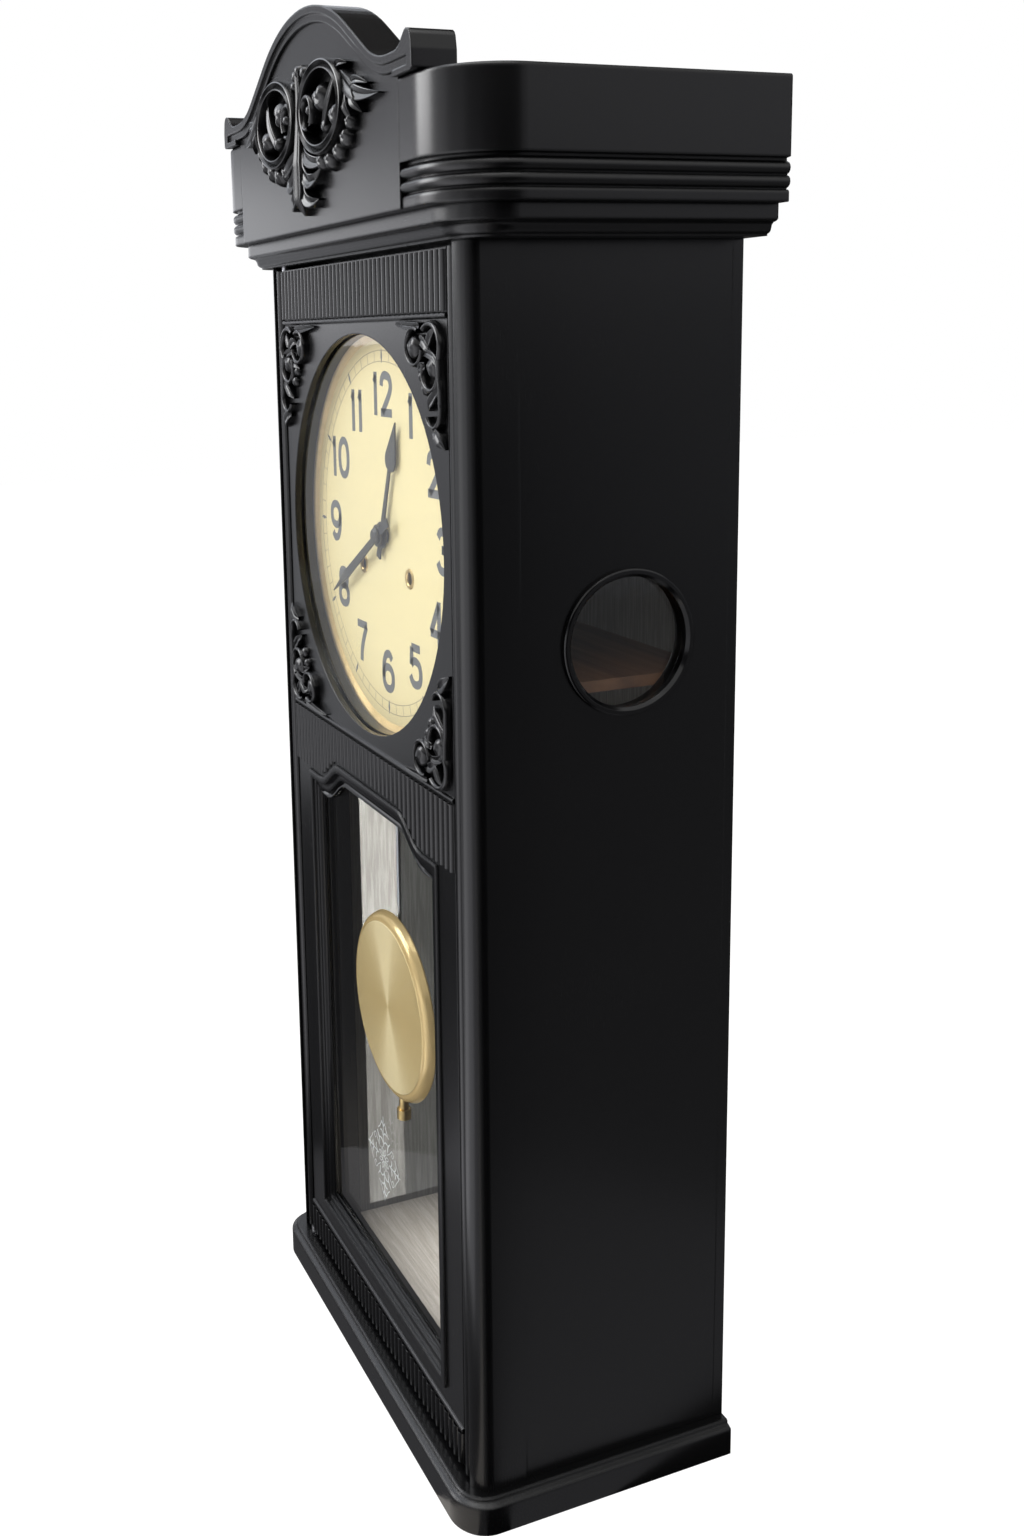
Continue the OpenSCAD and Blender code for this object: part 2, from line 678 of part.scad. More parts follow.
// The stepped moulding round the pendulum window
module window_moulding() {
  // Each step as [outer inset, inner inset, front, back]
  steps = [[seat, 4.5, -1, 8.6], [3, 9, 2, 8.6], [6, sight, 4.2, 5.9]];
  color(lacquer) difference() {
    for (s = steps)
      slab_y(front_y + door_back - 1.5 + s[2] + 1, s[3] - s[2]) difference() {
        polygon(window_line(s[0]));
        polygon(window_line(s[1]));
      }
    slab_y(pane_y + 0.9, 20) polygon(window_line(8.4));
  }
}
module window_glass() {
  color(clear) slab_y(pane_y + 1.2, glass_t) polygon(window_line(8.8));
}

module dial_glass() { color(clear) along_y(0, pane_y, centre_z, dial_open_r + 2.7, glass_t); }
module dial_glass_ring() {
  color(lacquer) along_y(0, pane_y + glass_t + seat, centre_z, dial_open_r + 3 - seat,
    door_rear - pane_y - glass_t - 0.3, dial_open_r);
}

// Two pins with collars that carry the door
module door_pivot_pins() {
  color(steel) translate([pivot_x, pivot_y, 0]) {
    translate([0, 0, foot - pin_in]) cylinder(r = pin_r, h = pin_in + door_end_gap);
    translate([0, 0, foot + 0.1]) cylinder(r = collar_r, h = door_end_gap - 0.1);
    translate([0, 0, door_z0 - eps]) cylinder(r = pin_r - seat, h = 10);
    translate([0, 0, door_z1 - 10]) cylinder(r = pin_r - seat, h = 10 + eps);
    translate([0, 0, door_z1]) cylinder(r = pin_r, h = door_end_gap + pin_in);
  }
}

// A clip in the frame holds the stud on the door's free edge
module door_catch() {
  color(brass) difference() {
    along_y(catch_x, stop_y, catch_z, catch_body_r - seat, 12);
    along_y(catch_x, stop_y - 1, catch_z, 3, 9);
  }
}
module catch_stud() {
  color(brass) {
    along_y(catch_x, door_rear - 4.8, catch_z, 1.5 - seat, 6.8);
    translate([catch_x, door_rear + 4, catch_z]) sphere(r = 2.5, $fn = 24);
    along_y(catch_x, door_rear + 1.5, catch_z, 1.4, 2);
  }
}

// The turned ring of a side window, with a spigot that holds the glass in the board
module side_ring(s) {
  proud = 2.6;
  color(lacquer) translate([s * (hw - side_step), front_y + port_y, foot + port_z])
    rotate([0, s * 90, 0]) rotate_extrude() polygon(concat(
      [[port_r, -3], [port_r + 2 - seat, -3], [port_r + 2 - seat, 0], [port_r + port_ring, 0]],
      arc(port_r + port_ring - 1.2, proud - 1.2, 1.2, 0, 90, 4),
      [[port_r + 1.6, proud], [port_r, proud - 1.6]]));
}
module side_ring_left() { side_ring(-1); }
module side_ring_right() { side_ring(1); }
module side_glass(s) {
  color(clear) translate([s * (hw - side_step - 3 - seat), front_y + port_y, foot + port_z])
    rotate([0, -s * 90, 0]) cylinder(r = port_r + 1.8, h = glass_t);
}
module side_glass_left() { side_glass(-1); }
module side_glass_right() { side_glass(1); }

// The painted dial, the brass ring round it, and the eyelets of its two winding holes
module dial() {
  color(cream) difference() {
    along_y(0, dial_face, centre_z, dial_r, dial_t);
    along_y(0, dial_face - 1, centre_z, 5, dial_t + 2);
    for (s = [-1, 1]) along_y(s * winding_x, dial_face - 1, barrel_z, eyelet_r, dial_t + 2);
  }
}
module dial_ring() {
  color(brass) translate([0, dial_face - seat, centre_z]) rotate([90, 0, 0]) rotate_extrude()
    polygon([[dial_open_r - 3.4, 0], [dial_open_r + 2.2, 0], [dial_open_r + 2.2, 1.9],
      [dial_open_r + 1.2, 1.9]]);
}
module winding_grommets() {
  color(brass) for (s = [-1, 1])
    translate([s * winding_x, dial_face + dial_t, barrel_z]) rotate([90, 0, 0]) rotate_extrude()
      polygon([[3.4, 0], [eyelet_r - seat, 0], [eyelet_r - seat, dial_t + 0.02],
        [eyelet_r + 0.8, dial_t + 0.02], [eyelet_r + 0.4, dial_t + 0.6], [4, dial_t + 0.6],
        [3.4, dial_t]]);
}

// A spur gear outline with straight-sided teeth, turned by a degrees
function gear_points(n, m, a = 0) = let (r = n * m / 2, t = 360 / n)
  [for (i = [0:n - 1]) each let (b = a + i * t) [
    [(r - 1.15 * m) * cos(b - 0.36 * t), (r - 1.15 * m) * sin(b - 0.36 * t)],
    [(r + 0.85 * m) * cos(b - 0.11 * t), (r + 0.85 * m) * sin(b - 0.11 * t)],
    [(r + 0.85 * m) * cos(b + 0.11 * t), (r + 0.85 * m) * sin(b + 0.11 * t)],
    [(r - 1.15 * m) * cos(b + 0.36 * t), (r - 1.15 * m) * sin(b + 0.36 * t)]]];
// A toothed wheel with crossed-out spokes, from y to y + l
module wheel(x, y, z, n, m, l, a = 0, hub = 3, bore = 0, spokes = 5) {
  r = n * m / 2 - 1.15 * m;
  translate([x, 0, z]) slab_y(y, l) difference() {
    polygon(gear_points(n, m, a));
    if (spokes > 0 && r > 3 * hub) difference() {
      circle(r = r - 0.12 * r - 0.8);
      circle(r = hub + 1.6);
      for (i = [0:spokes - 1]) rotate(i * 360 / spokes + a) translate([0, -r * 0.05 - 0.4])
        square([r, r * 0.1 + 0.8]);
    }
    if (bore > 0) circle(r = bore);
  }
}
// Turn of a driven gear whose tooth meets a gap of the driving one in direction d
function mesh_turn(n1, a1, n2, d) = let (t1 = 360 / n1, t2 = 360 / n2,
  off = (d - a1) / t1) d + 180 + t2 * (0.5 + (off - floor(off)));

// Hands: a flat outline turned to the time, on a pipe that reaches through the dial
module hour_hand() {
  color(hand_grey) {
    translate([0, 0, centre_z]) rotate([0, -hour_turn, 0]) slab_y(hour_y, hand_t) difference() {
      union() {
        circle(r = 7.5);
        polygon([[-2.2, 0], [2.2, 0], [1.5, hour_l - 27], [-1.5, hour_l - 27]]);
        polygon(concat([[0, hour_l]], arc(0, hour_l - 22, 7, 30, -60, 5),
          arc(0, hour_l - 22, 7, 240, 150, 5)));
        polygon([[-2.6, -14], [2.6, -14], [2, 0], [-2, 0]]);
      }
      circle(r = minute_pipe_r + 2 * fit);
    }
    along_y(0, hour_y + hand_t - eps, centre_z, hour_pipe_r, motion_y + 2.4 - hour_y - hand_t,
      minute_pipe_r + fit);
    wheel(0, motion_y, centre_z, hour_gear, hour_module, 1.4, hour_mesh, 5, minute_pipe_r + fit, 0);
  }
}
wheel_mesh = mesh_turn(minute_gear, 0, wheel_gear, motion_turn);
pinion_phase = wheel_mesh;
hour_mesh = mesh_turn(wheel_pinion, pinion_phase, hour_gear, motion_turn + 180);

module minute_hand() {
  color(hand_grey) {
    translate([0, 0, centre_z]) rotate([0, -minute_turn, 0]) slab_y(minute_y, hand_t) difference() {
      union() {
        circle(r = 6.2);
        polygon([[-2.1, 0], [2.1, 0], [2.9, minute_l - 26], [0, minute_l], [-2.9, minute_l - 26]]);
        polygon([[-2.6, -18], [2.6, -18], [2, 0], [-2, 0]]);
      }
      circle(r = centre_arbor_r + 2 * fit);
    }
    along_y(0, minute_y + hand_t - eps, centre_z, minute_pipe_r, motion_y + 6 - minute_y - hand_t,
      centre_arbor_r + fit);
    wheel(0, motion_y + 4, centre_z, minute_gear, motion_module, 2, 0, 2, centre_arbor_r + fit, 0);
  }
}
// The nut that holds the hands on
module hand_nut() {
  color(hand_grey) translate([0, minute_y - seat, centre_z]) rotate([90, 0, 0]) rotate_extrude()
    polygon([[centre_arbor_r + fit, 0], [4.6, 0], [4.6, 1.2], [3.4, 2.4], [0, 2.6], [0, 1.8],
      [centre_arbor_r + fit, 1.8]]);
}

module minute_wheel() {
  color(brass) {
    wheel(motion_x, motion_y + 4.3, motion_z, wheel_gear, motion_module, 1.4, wheel_mesh, 2.5, 1, 4);
    wheel(motion_x, motion_y - 0.2, motion_z, wheel_pinion, hour_module, 4.6, pinion_phase, 2, 1, 0);
  }
}

// Movement: two plates held apart by pillars
pillar_at = [for (x = [-1, 1]) for (z = [plate_bottom + 12, plate_top - 10])
  [x * (plate_w / 2 - pillar_inset), z]];
// Arbors as [x, z, pivot radius]
arbors = [[0, centre_z, centre_arbor_r], [third_x, third_z, 1], [0, escape_z, 1],
  [winding_x, barrel_z, 3], [-winding_x, barrel_z, 3], [pin_x, pin_z, 1.2], [fly_x, fly_z, 0.8],
  [hammer_x, hammer_z, 1.5]];
module plate(y) {
  color(brass) difference() {
    slab_y(y, plate_t) difference() {
      translate([-plate_w / 2, plate_bottom]) square([plate_w, plate_top - plate_bottom]);
      for (s = [-1, 1]) translate([s * plate_w / 2, plate_top + 2]) circle(r = 8);
      translate([-16, plate_bottom - 1]) square([32, 13]);
    }
    for (a = arbors) along_y(a[0], y - 1, a[1], a[2] + fit, plate_t + 2);
    for (p = pillar_at) along_y(p[0], y - 1, p[1], 1.5, plate_t + 2);
  }
}
module front_plate() {
  color(brass) {
    plate(plate_front);
    along_y(motion_x, motion_y - 0.5, motion_z, 1 - fit, plate_front - motion_y + 0.5 + eps);
  }
}
module back_plate() { plate(plate_back); }
module plate_pillars() {
  color(steel) for (p = pillar_at) {
    along_y(p[0], plate_front + plate_t, p[1], pillar_r, plate_gap);
    along_y(p[0], plate_front - 1.4, p[1], 1.5 - seat, plate_gap + 2 * plate_t + 2.8);
    for (y = [plate_front - 1.6, plate_back + plate_t]) along_y(p[0], y, p[1], 2.6, 1.6);
  }
}

// Barrels: a toothed wheel on a drum that holds the mainspring, turning on a squared arbor.
// The strike wheel stands further back, so that it clears the centre pinion.
strike_y = drum_y + 3.8;
centre_mesh = mesh_turn(barrel_teeth, 0, centre_leaves, atan2(barrel_drop, -winding_x));
module barrel(s, y) {
  color(brass) {
    wheel(s * winding_x, y, barrel_z, barrel_teeth, barrel_module, 2.5, 0, 5, arbor_r + fit, 0);
    along_y(s * winding_x, y + 2.5 - eps, barrel_z, drum_r, drum_y + drum_l - y, arbor_r + fit);
  }
}
module time_barrel() { barrel(1, drum_y); }
module strike_barrel() { barrel(-1, strike_y); }
module winding_arbor(s) {
  color(steel) {
    along_y(s * winding_x, plate_front - 3, barrel_z, arbor_r, plate_gap + 2 * plate_t + 5);
    translate([s * winding_x - 1.9, dial_face + dial_t + 0.8, barrel_z - 1.9])
      cube([3.8, plate_front - dial_face - dial_t - 3.8 + eps, 3.8]);
    wheel(s * winding_x, drum_y + 2.5 + drum_l + 0.8, barrel_z, 24, 0.7, 1.6, 0, 3, 0, 0);
  }
}
module time_arbor() { winding_arbor(1); }
module strike_arbor() { winding_arbor(-1); }

// Going train: centre, third and escape arbors
module centre_wheel() {
  color(brass) {
    along_y(0, minute_y - 1.6, centre_z, centre_arbor_r, plate_back + plate_t + 1.5 - minute_y + 1.6);
    wheel(0, drum_y - 0.2, centre_z, centre_leaves, barrel_module, 3.2, centre_mesh, 2, 0, 0);
    wheel(0, wheel_y + 2.4, centre_z, centre_teeth, third_module, 1.4, 0, 3);
  }
}
third_mesh = mesh_turn(centre_teeth, 0, third_leaves, third_turn);
module third_wheel() {
  color(brass) {
    along_y(third_x, plate_front - 1, third_z, 1, plate_gap + 2 * plate_t + 2);
    wheel(third_x, wheel_y + 1.5, third_z, third_leaves, third_module, 3.6, third_mesh, 1, 0, 0);
    wheel(third_x, wheel_y, third_z, third_teeth, escape_module, 1.3, third_mesh, 2.2, 0, 4);
  }
}
escape_mesh = mesh_turn(third_teeth, third_mesh, escape_leaves, escape_dir);

module escape_wheel() {
  color(brass) {
    along_y(0, escape_y - 0.6, escape_z, 1, plate_back + plate_t + 1 - escape_y + 0.6);
    wheel(0, wheel_y - 1, escape_z, escape_leaves, escape_module, 3, escape_mesh, 0.8, 0, 0);
    translate([0, 0, escape_z]) slab_y(escape_y, 1.2) difference() {
      polygon([for (i = [0:escape_teeth - 1]) each let (b = i * 360 / escape_teeth) [
        [(escape_r - 2.4) * cos(b), (escape_r - 2.4) * sin(b)],
        [escape_r * cos(b + 1), escape_r * sin(b + 1)],
        [escape_r * cos(b + 2), escape_r * sin(b + 2)],
        [(escape_r - 2.4) * cos(b + 7), (escape_r - 2.4) * sin(b + 7)]]]);
      difference() {
        circle(r = escape_r - 4.2);
        circle(r = 2.6);
        for (i = [0:3]) rotate(i * 90) translate([0, -0.9]) square([escape_r, 1.8]);
      }
    }
  }
}

// Strip pallets over the escape wheel, with the crutch wire that guides the rod
pallet_r = 1.42 * escape_r;
crutch_l = 26;
module pallets_and_crutch() {
  y = escape_y - 2.6;
  color(steel) {
    along_y(0, y, pallet_z, 2.4, 4.6, 1 + fit);
    translate([0, 0, pallet_z]) slab_y(escape_y - 0.2, 1.6) difference() {
      union() {
        polygon(concat(arc(0, -pallet_r, escape_r + 4.2, 48, 132, 8),
          [[-pallet_r * 0.63, -pallet_r * 0.49]],
          arc(0, -pallet_r, escape_r + 1.8, 130, 50, 8),
          [[pallet_r * 0.55, -pallet_r * 0.4]]));
        translate([-2, -3]) square([4, 3]);
      }
      circle(r = 1 + fit);
    }
    translate([-0.8, y + 0.2, pallet_z - crutch_l]) cube([1.6, 1.2, crutch_l - 2]);
    for (s = [-1, 1])
      translate([s > 0 ? rod_r + 0.35 : -rod_r - 1.55, front_y + rod_y - 2, pallet_z - crutch_l])
        cube([1.2, y + 1.4 - front_y - rod_y + 2, 1.2]);
    translate([-rod_r - 1.55, y + 0.2, pallet_z - crutch_l]) cube([2 * rod_r + 3.1, 1.2, 1.2]);
  }
}

// Strike train: a wheel with lifting pins, and the fly that slows it
pin_mesh = mesh_turn(barrel_teeth, 0, pin_leaves, pin_dir);
fly_mesh = mesh_turn(pin_teeth, pin_mesh, fly_leaves, fly_dir);
module pin_wheel() {
  color(brass) {
    along_y(pin_x, plate_front - 1, pin_z, 1.2, plate_gap + 2 * plate_t + 2);
    wheel(pin_x, strike_y - 0.2, pin_z, pin_leaves, barrel_module, 3.2, pin_mesh, 1.2, 0, 0);
    wheel(pin_x, wheel_y + 2.4, pin_z, pin_teeth, fly_module, 1.4, pin_mesh, 2, 0, 4);
    for (i = [0:7])
      along_y(pin_x + 15.9 * cos(i * 45 + 20), wheel_y + 0.2, pin_z + 15.9 * sin(i * 45 + 20), 0.7, 2.6);
  }
}
module fly() {
  color(steel) {
    along_y(fly_x, plate_front - 1, fly_z, 0.8, plate_gap + 2 * plate_t + 2);
    wheel(fly_x, wheel_y + 1.5, fly_z, fly_leaves, fly_module, 3.2, fly_mesh, 0.8, 0, 0);
    translate([fly_x - 7.5, drum_y + 2, fly_z - 0.4]) cube([15, 14, 0.8]);
  }
}

// Hammer on its arbor; the rod reaches down through the seat board to the gong
hammer_head = 11;
module hammer() {
  y = gong_y + gong_w / 2 - 1;
  x = hammer_x - hammer_arm;
  color(steel) {
    along_y(hammer_x, plate_front - 1, hammer_z, 1.5, y + 2 - plate_front + 1);
    translate([x - 1, y, hammer_z - 1]) cube([hammer_arm + 1, 2, 2]);
    translate([x - 1, y, gong_z]) cube([2, 2, hammer_z - gong_z]);
    translate([x - hammer_head / 2, y + 1, gong_z]) rotate([0, 90, 0]) cylinder(r = 4.5, h = hammer_head);
  }
}

// Flat spiral gong: a square wire wound about 3 turns
module gong_coil() {
  n = 20 * gong_turns;
  spiral = function(off) [for (i = [0:n]) let (a = 360 * gong_turns * i / n,
    r = gong_r0 + gong_step * gong_turns * i / n + off) [r * cos(a), r * sin(a)]];
  inner = spiral(-gong_w / 2);
  color(steel) translate([0, 0, gong_z]) slab_y(gong_y, gong_w)
    polygon(concat(spiral(gong_w / 2), [for (i = [n:-1:0]) inner[i]]));
}
module gong_block() {
  color(steel) {
    translate([gong_r0 - 7, gong_y + gong_w, gong_z - 7])
      cube([14, back_y - back_t - gong_y - gong_w, 14]);
  }
}

module seat_board() {
  y0 = frame_y + frame_t;
  color(brown_wood) difference() {
    translate([-inner_half, y0, seat_top - seat_t])
      cube([2 * inner_half, back_y - back_t - y0, seat_t]);
    translate([hammer_x - hammer_arm - 12, gong_y - 4, seat_top - seat_t - 1]) cube([17, 12, seat_t + 2]);
  }
}

// The bracket that holds the suspension spring in front of the plate
spring_w = 4;
spring_slot = 1.5;
module pendulum_cock() {
  y0 = front_y + rod_y - spring_w / 2 - 0.3;
  color(brass) {
    difference() {
      translate([-5, y0, pallet_z + 4]) cube([10, plate_front - y0, 7]);
      translate([-spring_slot / 2, y0 + 0.2, pallet_z + 3]) cube([spring_slot, spring_w + 0.2, 6]);
    }
    translate([-4, plate_front - 1.6, pallet_z - 4]) cube([8, 1.6, 9]);
    along_y(0, escape_y - 3, pallet_z, 1, plate_front - escape_y + 2);
  }
}
module suspension_spring() {
  color(steel)
    translate([-0.15, front_y + rod_y - spring_w / 2, pallet_z - 10]) cube([0.3, spring_w, 17.9]);
}
// A ring in the rod lets it pass round the hands' pipes
rod_ring_r = 9;
module pendulum_rod() {
  z0 = foot + bob_z - bob_r - nut_drop - 14;
  z1 = pallet_z - 10;
  color(steel) translate([0, front_y + rod_y, 0]) {
    translate([0, 0, z0]) cylinder(r = rod_r, h = centre_z - rod_ring_r - z0);
    translate([0, 0, centre_z + rod_ring_r]) cylinder(r = rod_r, h = z1 - centre_z - rod_ring_r);
    translate([0, 0, centre_z]) rotate([90, 0, 0]) rotate_extrude()
      translate([rod_ring_r, 0]) circle(r = rod_r, $fn = 24);
    difference() {
      translate([-1.5, -spring_w / 2 - 0.4, z1 - 2]) cube([3, spring_w + 0.8, 7]);
      translate([-0.15 - seat, -spring_w / 2 - seat, z1]) cube([0.3 + 2 * seat, spring_w + 2 * seat, 6]);
    }
  }
}
module pendulum_bob() {
  r = bob_r;
  color(brass) {
    translate([0, bob_face, foot + bob_z]) rotate([-90, 0, 0]) rotate_extrude($fn = 96)
      polygon(concat(
        [[0, 0], [r - bob_bevel - 0.8, 0], [r - bob_bevel, 0.4]],
        arc(r - bob_bevel, 5.4, 5, -70, -20, 4),
        [[r, 5.6], [r - 0.4, 6.4], [r - 6, bob_t], [0, bob_t]]));
    // Guide at the back that slides on the rod
    difference() {
      translate([-4, bob_face + bob_t - eps, foot + bob_z - bob_r - nut_drop])
        cube([8, 2 * rod_r + 1.8, bob_r + 40]);
      translate([0, front_y + rod_y, foot + bob_z - bob_r - 10]) cylinder(r = rod_r + fit, h = bob_r + 60);
    }
  }
}
module rating_nut() {
  z = foot + bob_z - bob_r - nut_drop - 13.1;
  color(brass) translate([0, front_y + rod_y, z]) difference() {
    union() {
      cylinder(r = 4.2, h = 6);
      translate([0, 0, 6]) cylinder(r = 2.8, h = 7);
    }
    translate([0, 0, -1]) cylinder(r = rod_r + fit, h = 16);
  }
}

plinth();
back_board();
side_board_left();
side_board_right();
corner_post_left();
corner_post_right();
top_board();
face_frame();
cornice();
crown_side_left();
crown_side_right();
crown_back_rail();
dust_board();
pediment_board();
arch_moulding();
pediment_carving();
wall_hanger();
side_ring_left();
side_ring_right();
side_glass_left();
side_glass_right();
door_frame();
door_reeds();
door_carvings();
window_moulding();
window_glass();
dial_glass();
dial_glass_ring();
door_pivot_pins();
door_catch();
catch_stud();
dial();
dial_ring();
winding_grommets();
hour_hand();
minute_hand();
hand_nut();
minute_wheel();
seat_board();
front_plate();
back_plate();
plate_pillars();
time_barrel();
time_arbor();
strike_barrel();
strike_arbor();
centre_wheel();
third_wheel();
escape_wheel();
pallets_and_crutch();
pin_wheel();
fly();
hammer();
gong_coil();
gong_block();
pendulum_cock();
suspension_spring();
pendulum_rod();
pendulum_bob();
rating_nut();
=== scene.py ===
# %% [markdown]
# # A pendulum wall clock in black lacquer
#
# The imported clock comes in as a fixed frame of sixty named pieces, in metres, with the dial facing
# -Y and the plinth's underside at Z = 0. This script adds what a construction drawing leaves out:
# lacquer over wood grain, brushed brass, glass, the printed dial and the carved ornaments.

# %% Load the frame
import math
import random

import bpy
from mathutils import Matrix, Vector


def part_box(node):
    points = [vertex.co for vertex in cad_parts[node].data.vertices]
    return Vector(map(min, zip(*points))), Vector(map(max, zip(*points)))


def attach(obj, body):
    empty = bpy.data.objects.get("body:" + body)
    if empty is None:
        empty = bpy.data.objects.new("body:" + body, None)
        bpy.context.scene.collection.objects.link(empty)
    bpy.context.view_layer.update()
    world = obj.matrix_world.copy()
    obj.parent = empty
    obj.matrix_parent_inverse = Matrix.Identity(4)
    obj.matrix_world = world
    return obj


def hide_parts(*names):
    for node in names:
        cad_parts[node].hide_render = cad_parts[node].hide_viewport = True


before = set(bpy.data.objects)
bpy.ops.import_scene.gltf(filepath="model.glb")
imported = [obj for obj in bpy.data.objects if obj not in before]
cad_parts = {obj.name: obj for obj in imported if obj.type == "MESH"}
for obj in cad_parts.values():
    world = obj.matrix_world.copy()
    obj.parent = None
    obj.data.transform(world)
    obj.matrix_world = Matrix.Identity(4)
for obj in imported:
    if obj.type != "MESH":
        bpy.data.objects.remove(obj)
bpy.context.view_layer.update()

MM = 0.001
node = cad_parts

# %% [markdown]
# ## Places that several pieces share
#
# A piece that is placed by measured boxes stays right when the drawing changes. The dial's centre
# and the glass come from the boxes of their own nodes here, and the boards that carry carvings
# and screws in the cells that need them. What is drawn by hand counts millimetres from there.

# %% Places read from the boxes
dial_low, dial_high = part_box("dial")
dial_centre = Vector(((dial_low.x + dial_high.x) / 2, dial_low.y, (dial_low.z + dial_high.z) / 2))
pane_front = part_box("window_glass")[0].y
print("dial centre (mm):", [round(v / MM, 2) for v in dial_centre])
print("front of the window glass (mm):", round(pane_front / MM, 2))

# %% [markdown]
# ## Shader maths as plain expressions
#
# A material is easier to read as arithmetic than as a hundred lines of links. One small class
# wraps a socket: adding or multiplying two of them adds the Math node that does it, and a single
# method makes any other node. Colours and vectors go to Vector Math and Mix, since a Math node
# would turn them grey.

# %% One socket that can do sums
class Ink:
    """A shader socket that takes part in arithmetic. Without a socket it only makes nodes."""

    def __init__(self, tree, out=None):
        self.tree, self.out = tree, out

    def make(self, kind, settings=None, sockets=None, out=0):
        """Any node: its type, its settings, which are set first, and its sockets."""
        made = self.tree.nodes.new(kind)
        for key, value in (settings or {}).items():
            setattr(made, key, value)
        for key, value in (sockets or {}).items():
            if isinstance(value, Ink):
                self.tree.links.new(value.out, made.inputs[key])
            else:
                made.inputs[key].default_value = value
        return Ink(self.tree, made.outputs[out])

    def also(self, out):
        """Another output of the node that this socket belongs to."""
        return Ink(self.tree, self.out.node.outputs[out])

    def sum(self, operation, a, b=None):
        """A Math node, or Vector Math where a colour or a vector takes part."""
        vectors = any(isinstance(v, Ink) and v.out.type in {"VECTOR", "RGBA"} for v in (a, b))
        kind = "ShaderNodeVectorMath" if vectors else "ShaderNodeMath"
        if vectors and operation == "MULTIPLY" and not isinstance(b, (Ink, tuple)):
            return self.make(kind, {"operation": "SCALE"}, {0: a, 3: b})
        return self.make(kind, {"operation": operation}, {0: a} if b is None else {0: a, 1: b})

    def __add__(self, other): return self.sum("ADD", self, other)
    def __radd__(self, other): return self.sum("ADD", self, other)
    def __sub__(self, other): return self.sum("SUBTRACT", self, other)
    def __rsub__(self, other): return self.sum("SUBTRACT", other, self)
    def __mul__(self, other): return self.sum("MULTIPLY", self, other)
    def __rmul__(self, other): return self.sum("MULTIPLY", self, other)
    def __pow__(self, other): return self.sum("POWER", self, other)
    def __abs__(self): return self.sum("ABSOLUTE", self)

    def ramp(self, low, high, to_low=0.0, to_high=1.0):
        """A soft step: to_low below low, to_high above high."""
        return self.make("ShaderNodeMapRange", {"interpolation_type": "SMOOTHSTEP"},
                         {"Value": self, "From Min": low, "From Max": high,
                          "To Min": to_low, "To Max": to_high})

    def blend(self, a, b):
        """Colour a where this is 0 and colour b where it is 1."""
        return self.make("ShaderNodeMix", {"data_type": "RGBA"}, {0: self, 6: a, 7: b}, out=2)


# %% A finish to start from
def rgb(r, g, b):
    """A full colour from three linear parts."""
    return (r, g, b, 1.0)


def shade(colour, share):
    """The same colour, darker below 1 and lighter above it."""
    return rgb(*(part * share for part in colour[:3]))


def new_material(name, principled=True):
    """A material and the Ink that makes its nodes, with or without the shader it starts with."""
    material = bpy.data.materials.new(name)
    material.use_nodes = True
    tree = material.node_tree
    if not principled:
        tree.nodes.remove(tree.nodes["Principled BSDF"])
    return material, Ink(tree)


def set_surface(shader):
    """Links a shader to its material's surface."""
    tree = shader.tree
    tree.links.new(shader.out, tree.nodes["Material Output"].inputs["Surface"])


class Finish:
    """A material with one Principled shader, and the point on the surface in metres."""

    def __init__(self, name, **constants):
        self.material, self.ink = new_material(name)
        self.shader = self.ink.tree.nodes["Principled BSDF"]
        for key, value in constants.items():
            self.shader.inputs[key.replace("_", " ")].default_value = value
        self.point = self.ink.make("ShaderNodeTexCoord", out="Object")
        self.x = self.ink.make("ShaderNodeSeparateXYZ", sockets={0: self.point})
        self.y, self.z = self.x.also(1), self.x.also(2)

    def vector(self, x, y, z):
        return self.ink.make("ShaderNodeCombineXYZ", sockets={0: x, 1: y, 2: z})

    def noise(self, where, scale, detail, rough):
        """Soft grey noise round 0.5; where is a stretched or bare point."""
        return self.ink.make("ShaderNodeTexNoise", sockets={
            "Vector": where, "Scale": scale, "Detail": detail, "Roughness": rough})

    def from_centre(self, centre):
        """Offsets from a centre in X and Z, and the distance to it."""
        dx, dz = self.x - centre.x, self.z - centre.z
        return dx, dz, (dx * dx + dz * dz) ** 0.5

    def set(self, socket, value):
        """Links what changes over the surface to one socket of the shader."""
        self.ink.tree.links.new(value.out, self.shader.inputs[socket])

    def relief(self, height, distance, edge=0.0):
        """Height in 0..1 becomes bump of that depth in metres; edge rounds the arrises that far."""
        sockets = {"Height": height, "Strength": 1.0, "Distance": distance}
        if edge:
            sockets["Normal"] = self.ink.make("ShaderNodeBevel", {"samples": 4}, {"Radius": edge})
        self.set("Normal", self.ink.make("ShaderNodeBump", sockets=sockets))


def dress(material, names):
    """Gives one material to each named piece of the frame."""
    for name in names:
        node[name].data.materials.clear()
        node[name].data.materials.append(material)


# %% [markdown]
# ## Black lacquer over wood
#
# The case is sprayed black and rubbed to a satin sheen. The pores of the wood still show through as
# short fine dashes along the grain, and a hand has left slightly duller and shinier patches. Grain
# is noise that is squeezed across one direction, so each board needs the direction it was sawn in:
# uprights run along Z, the crown and plinth along their length. The arrises are rounded in the
# shading, which is what gives lacquer its thin bright edge lines.

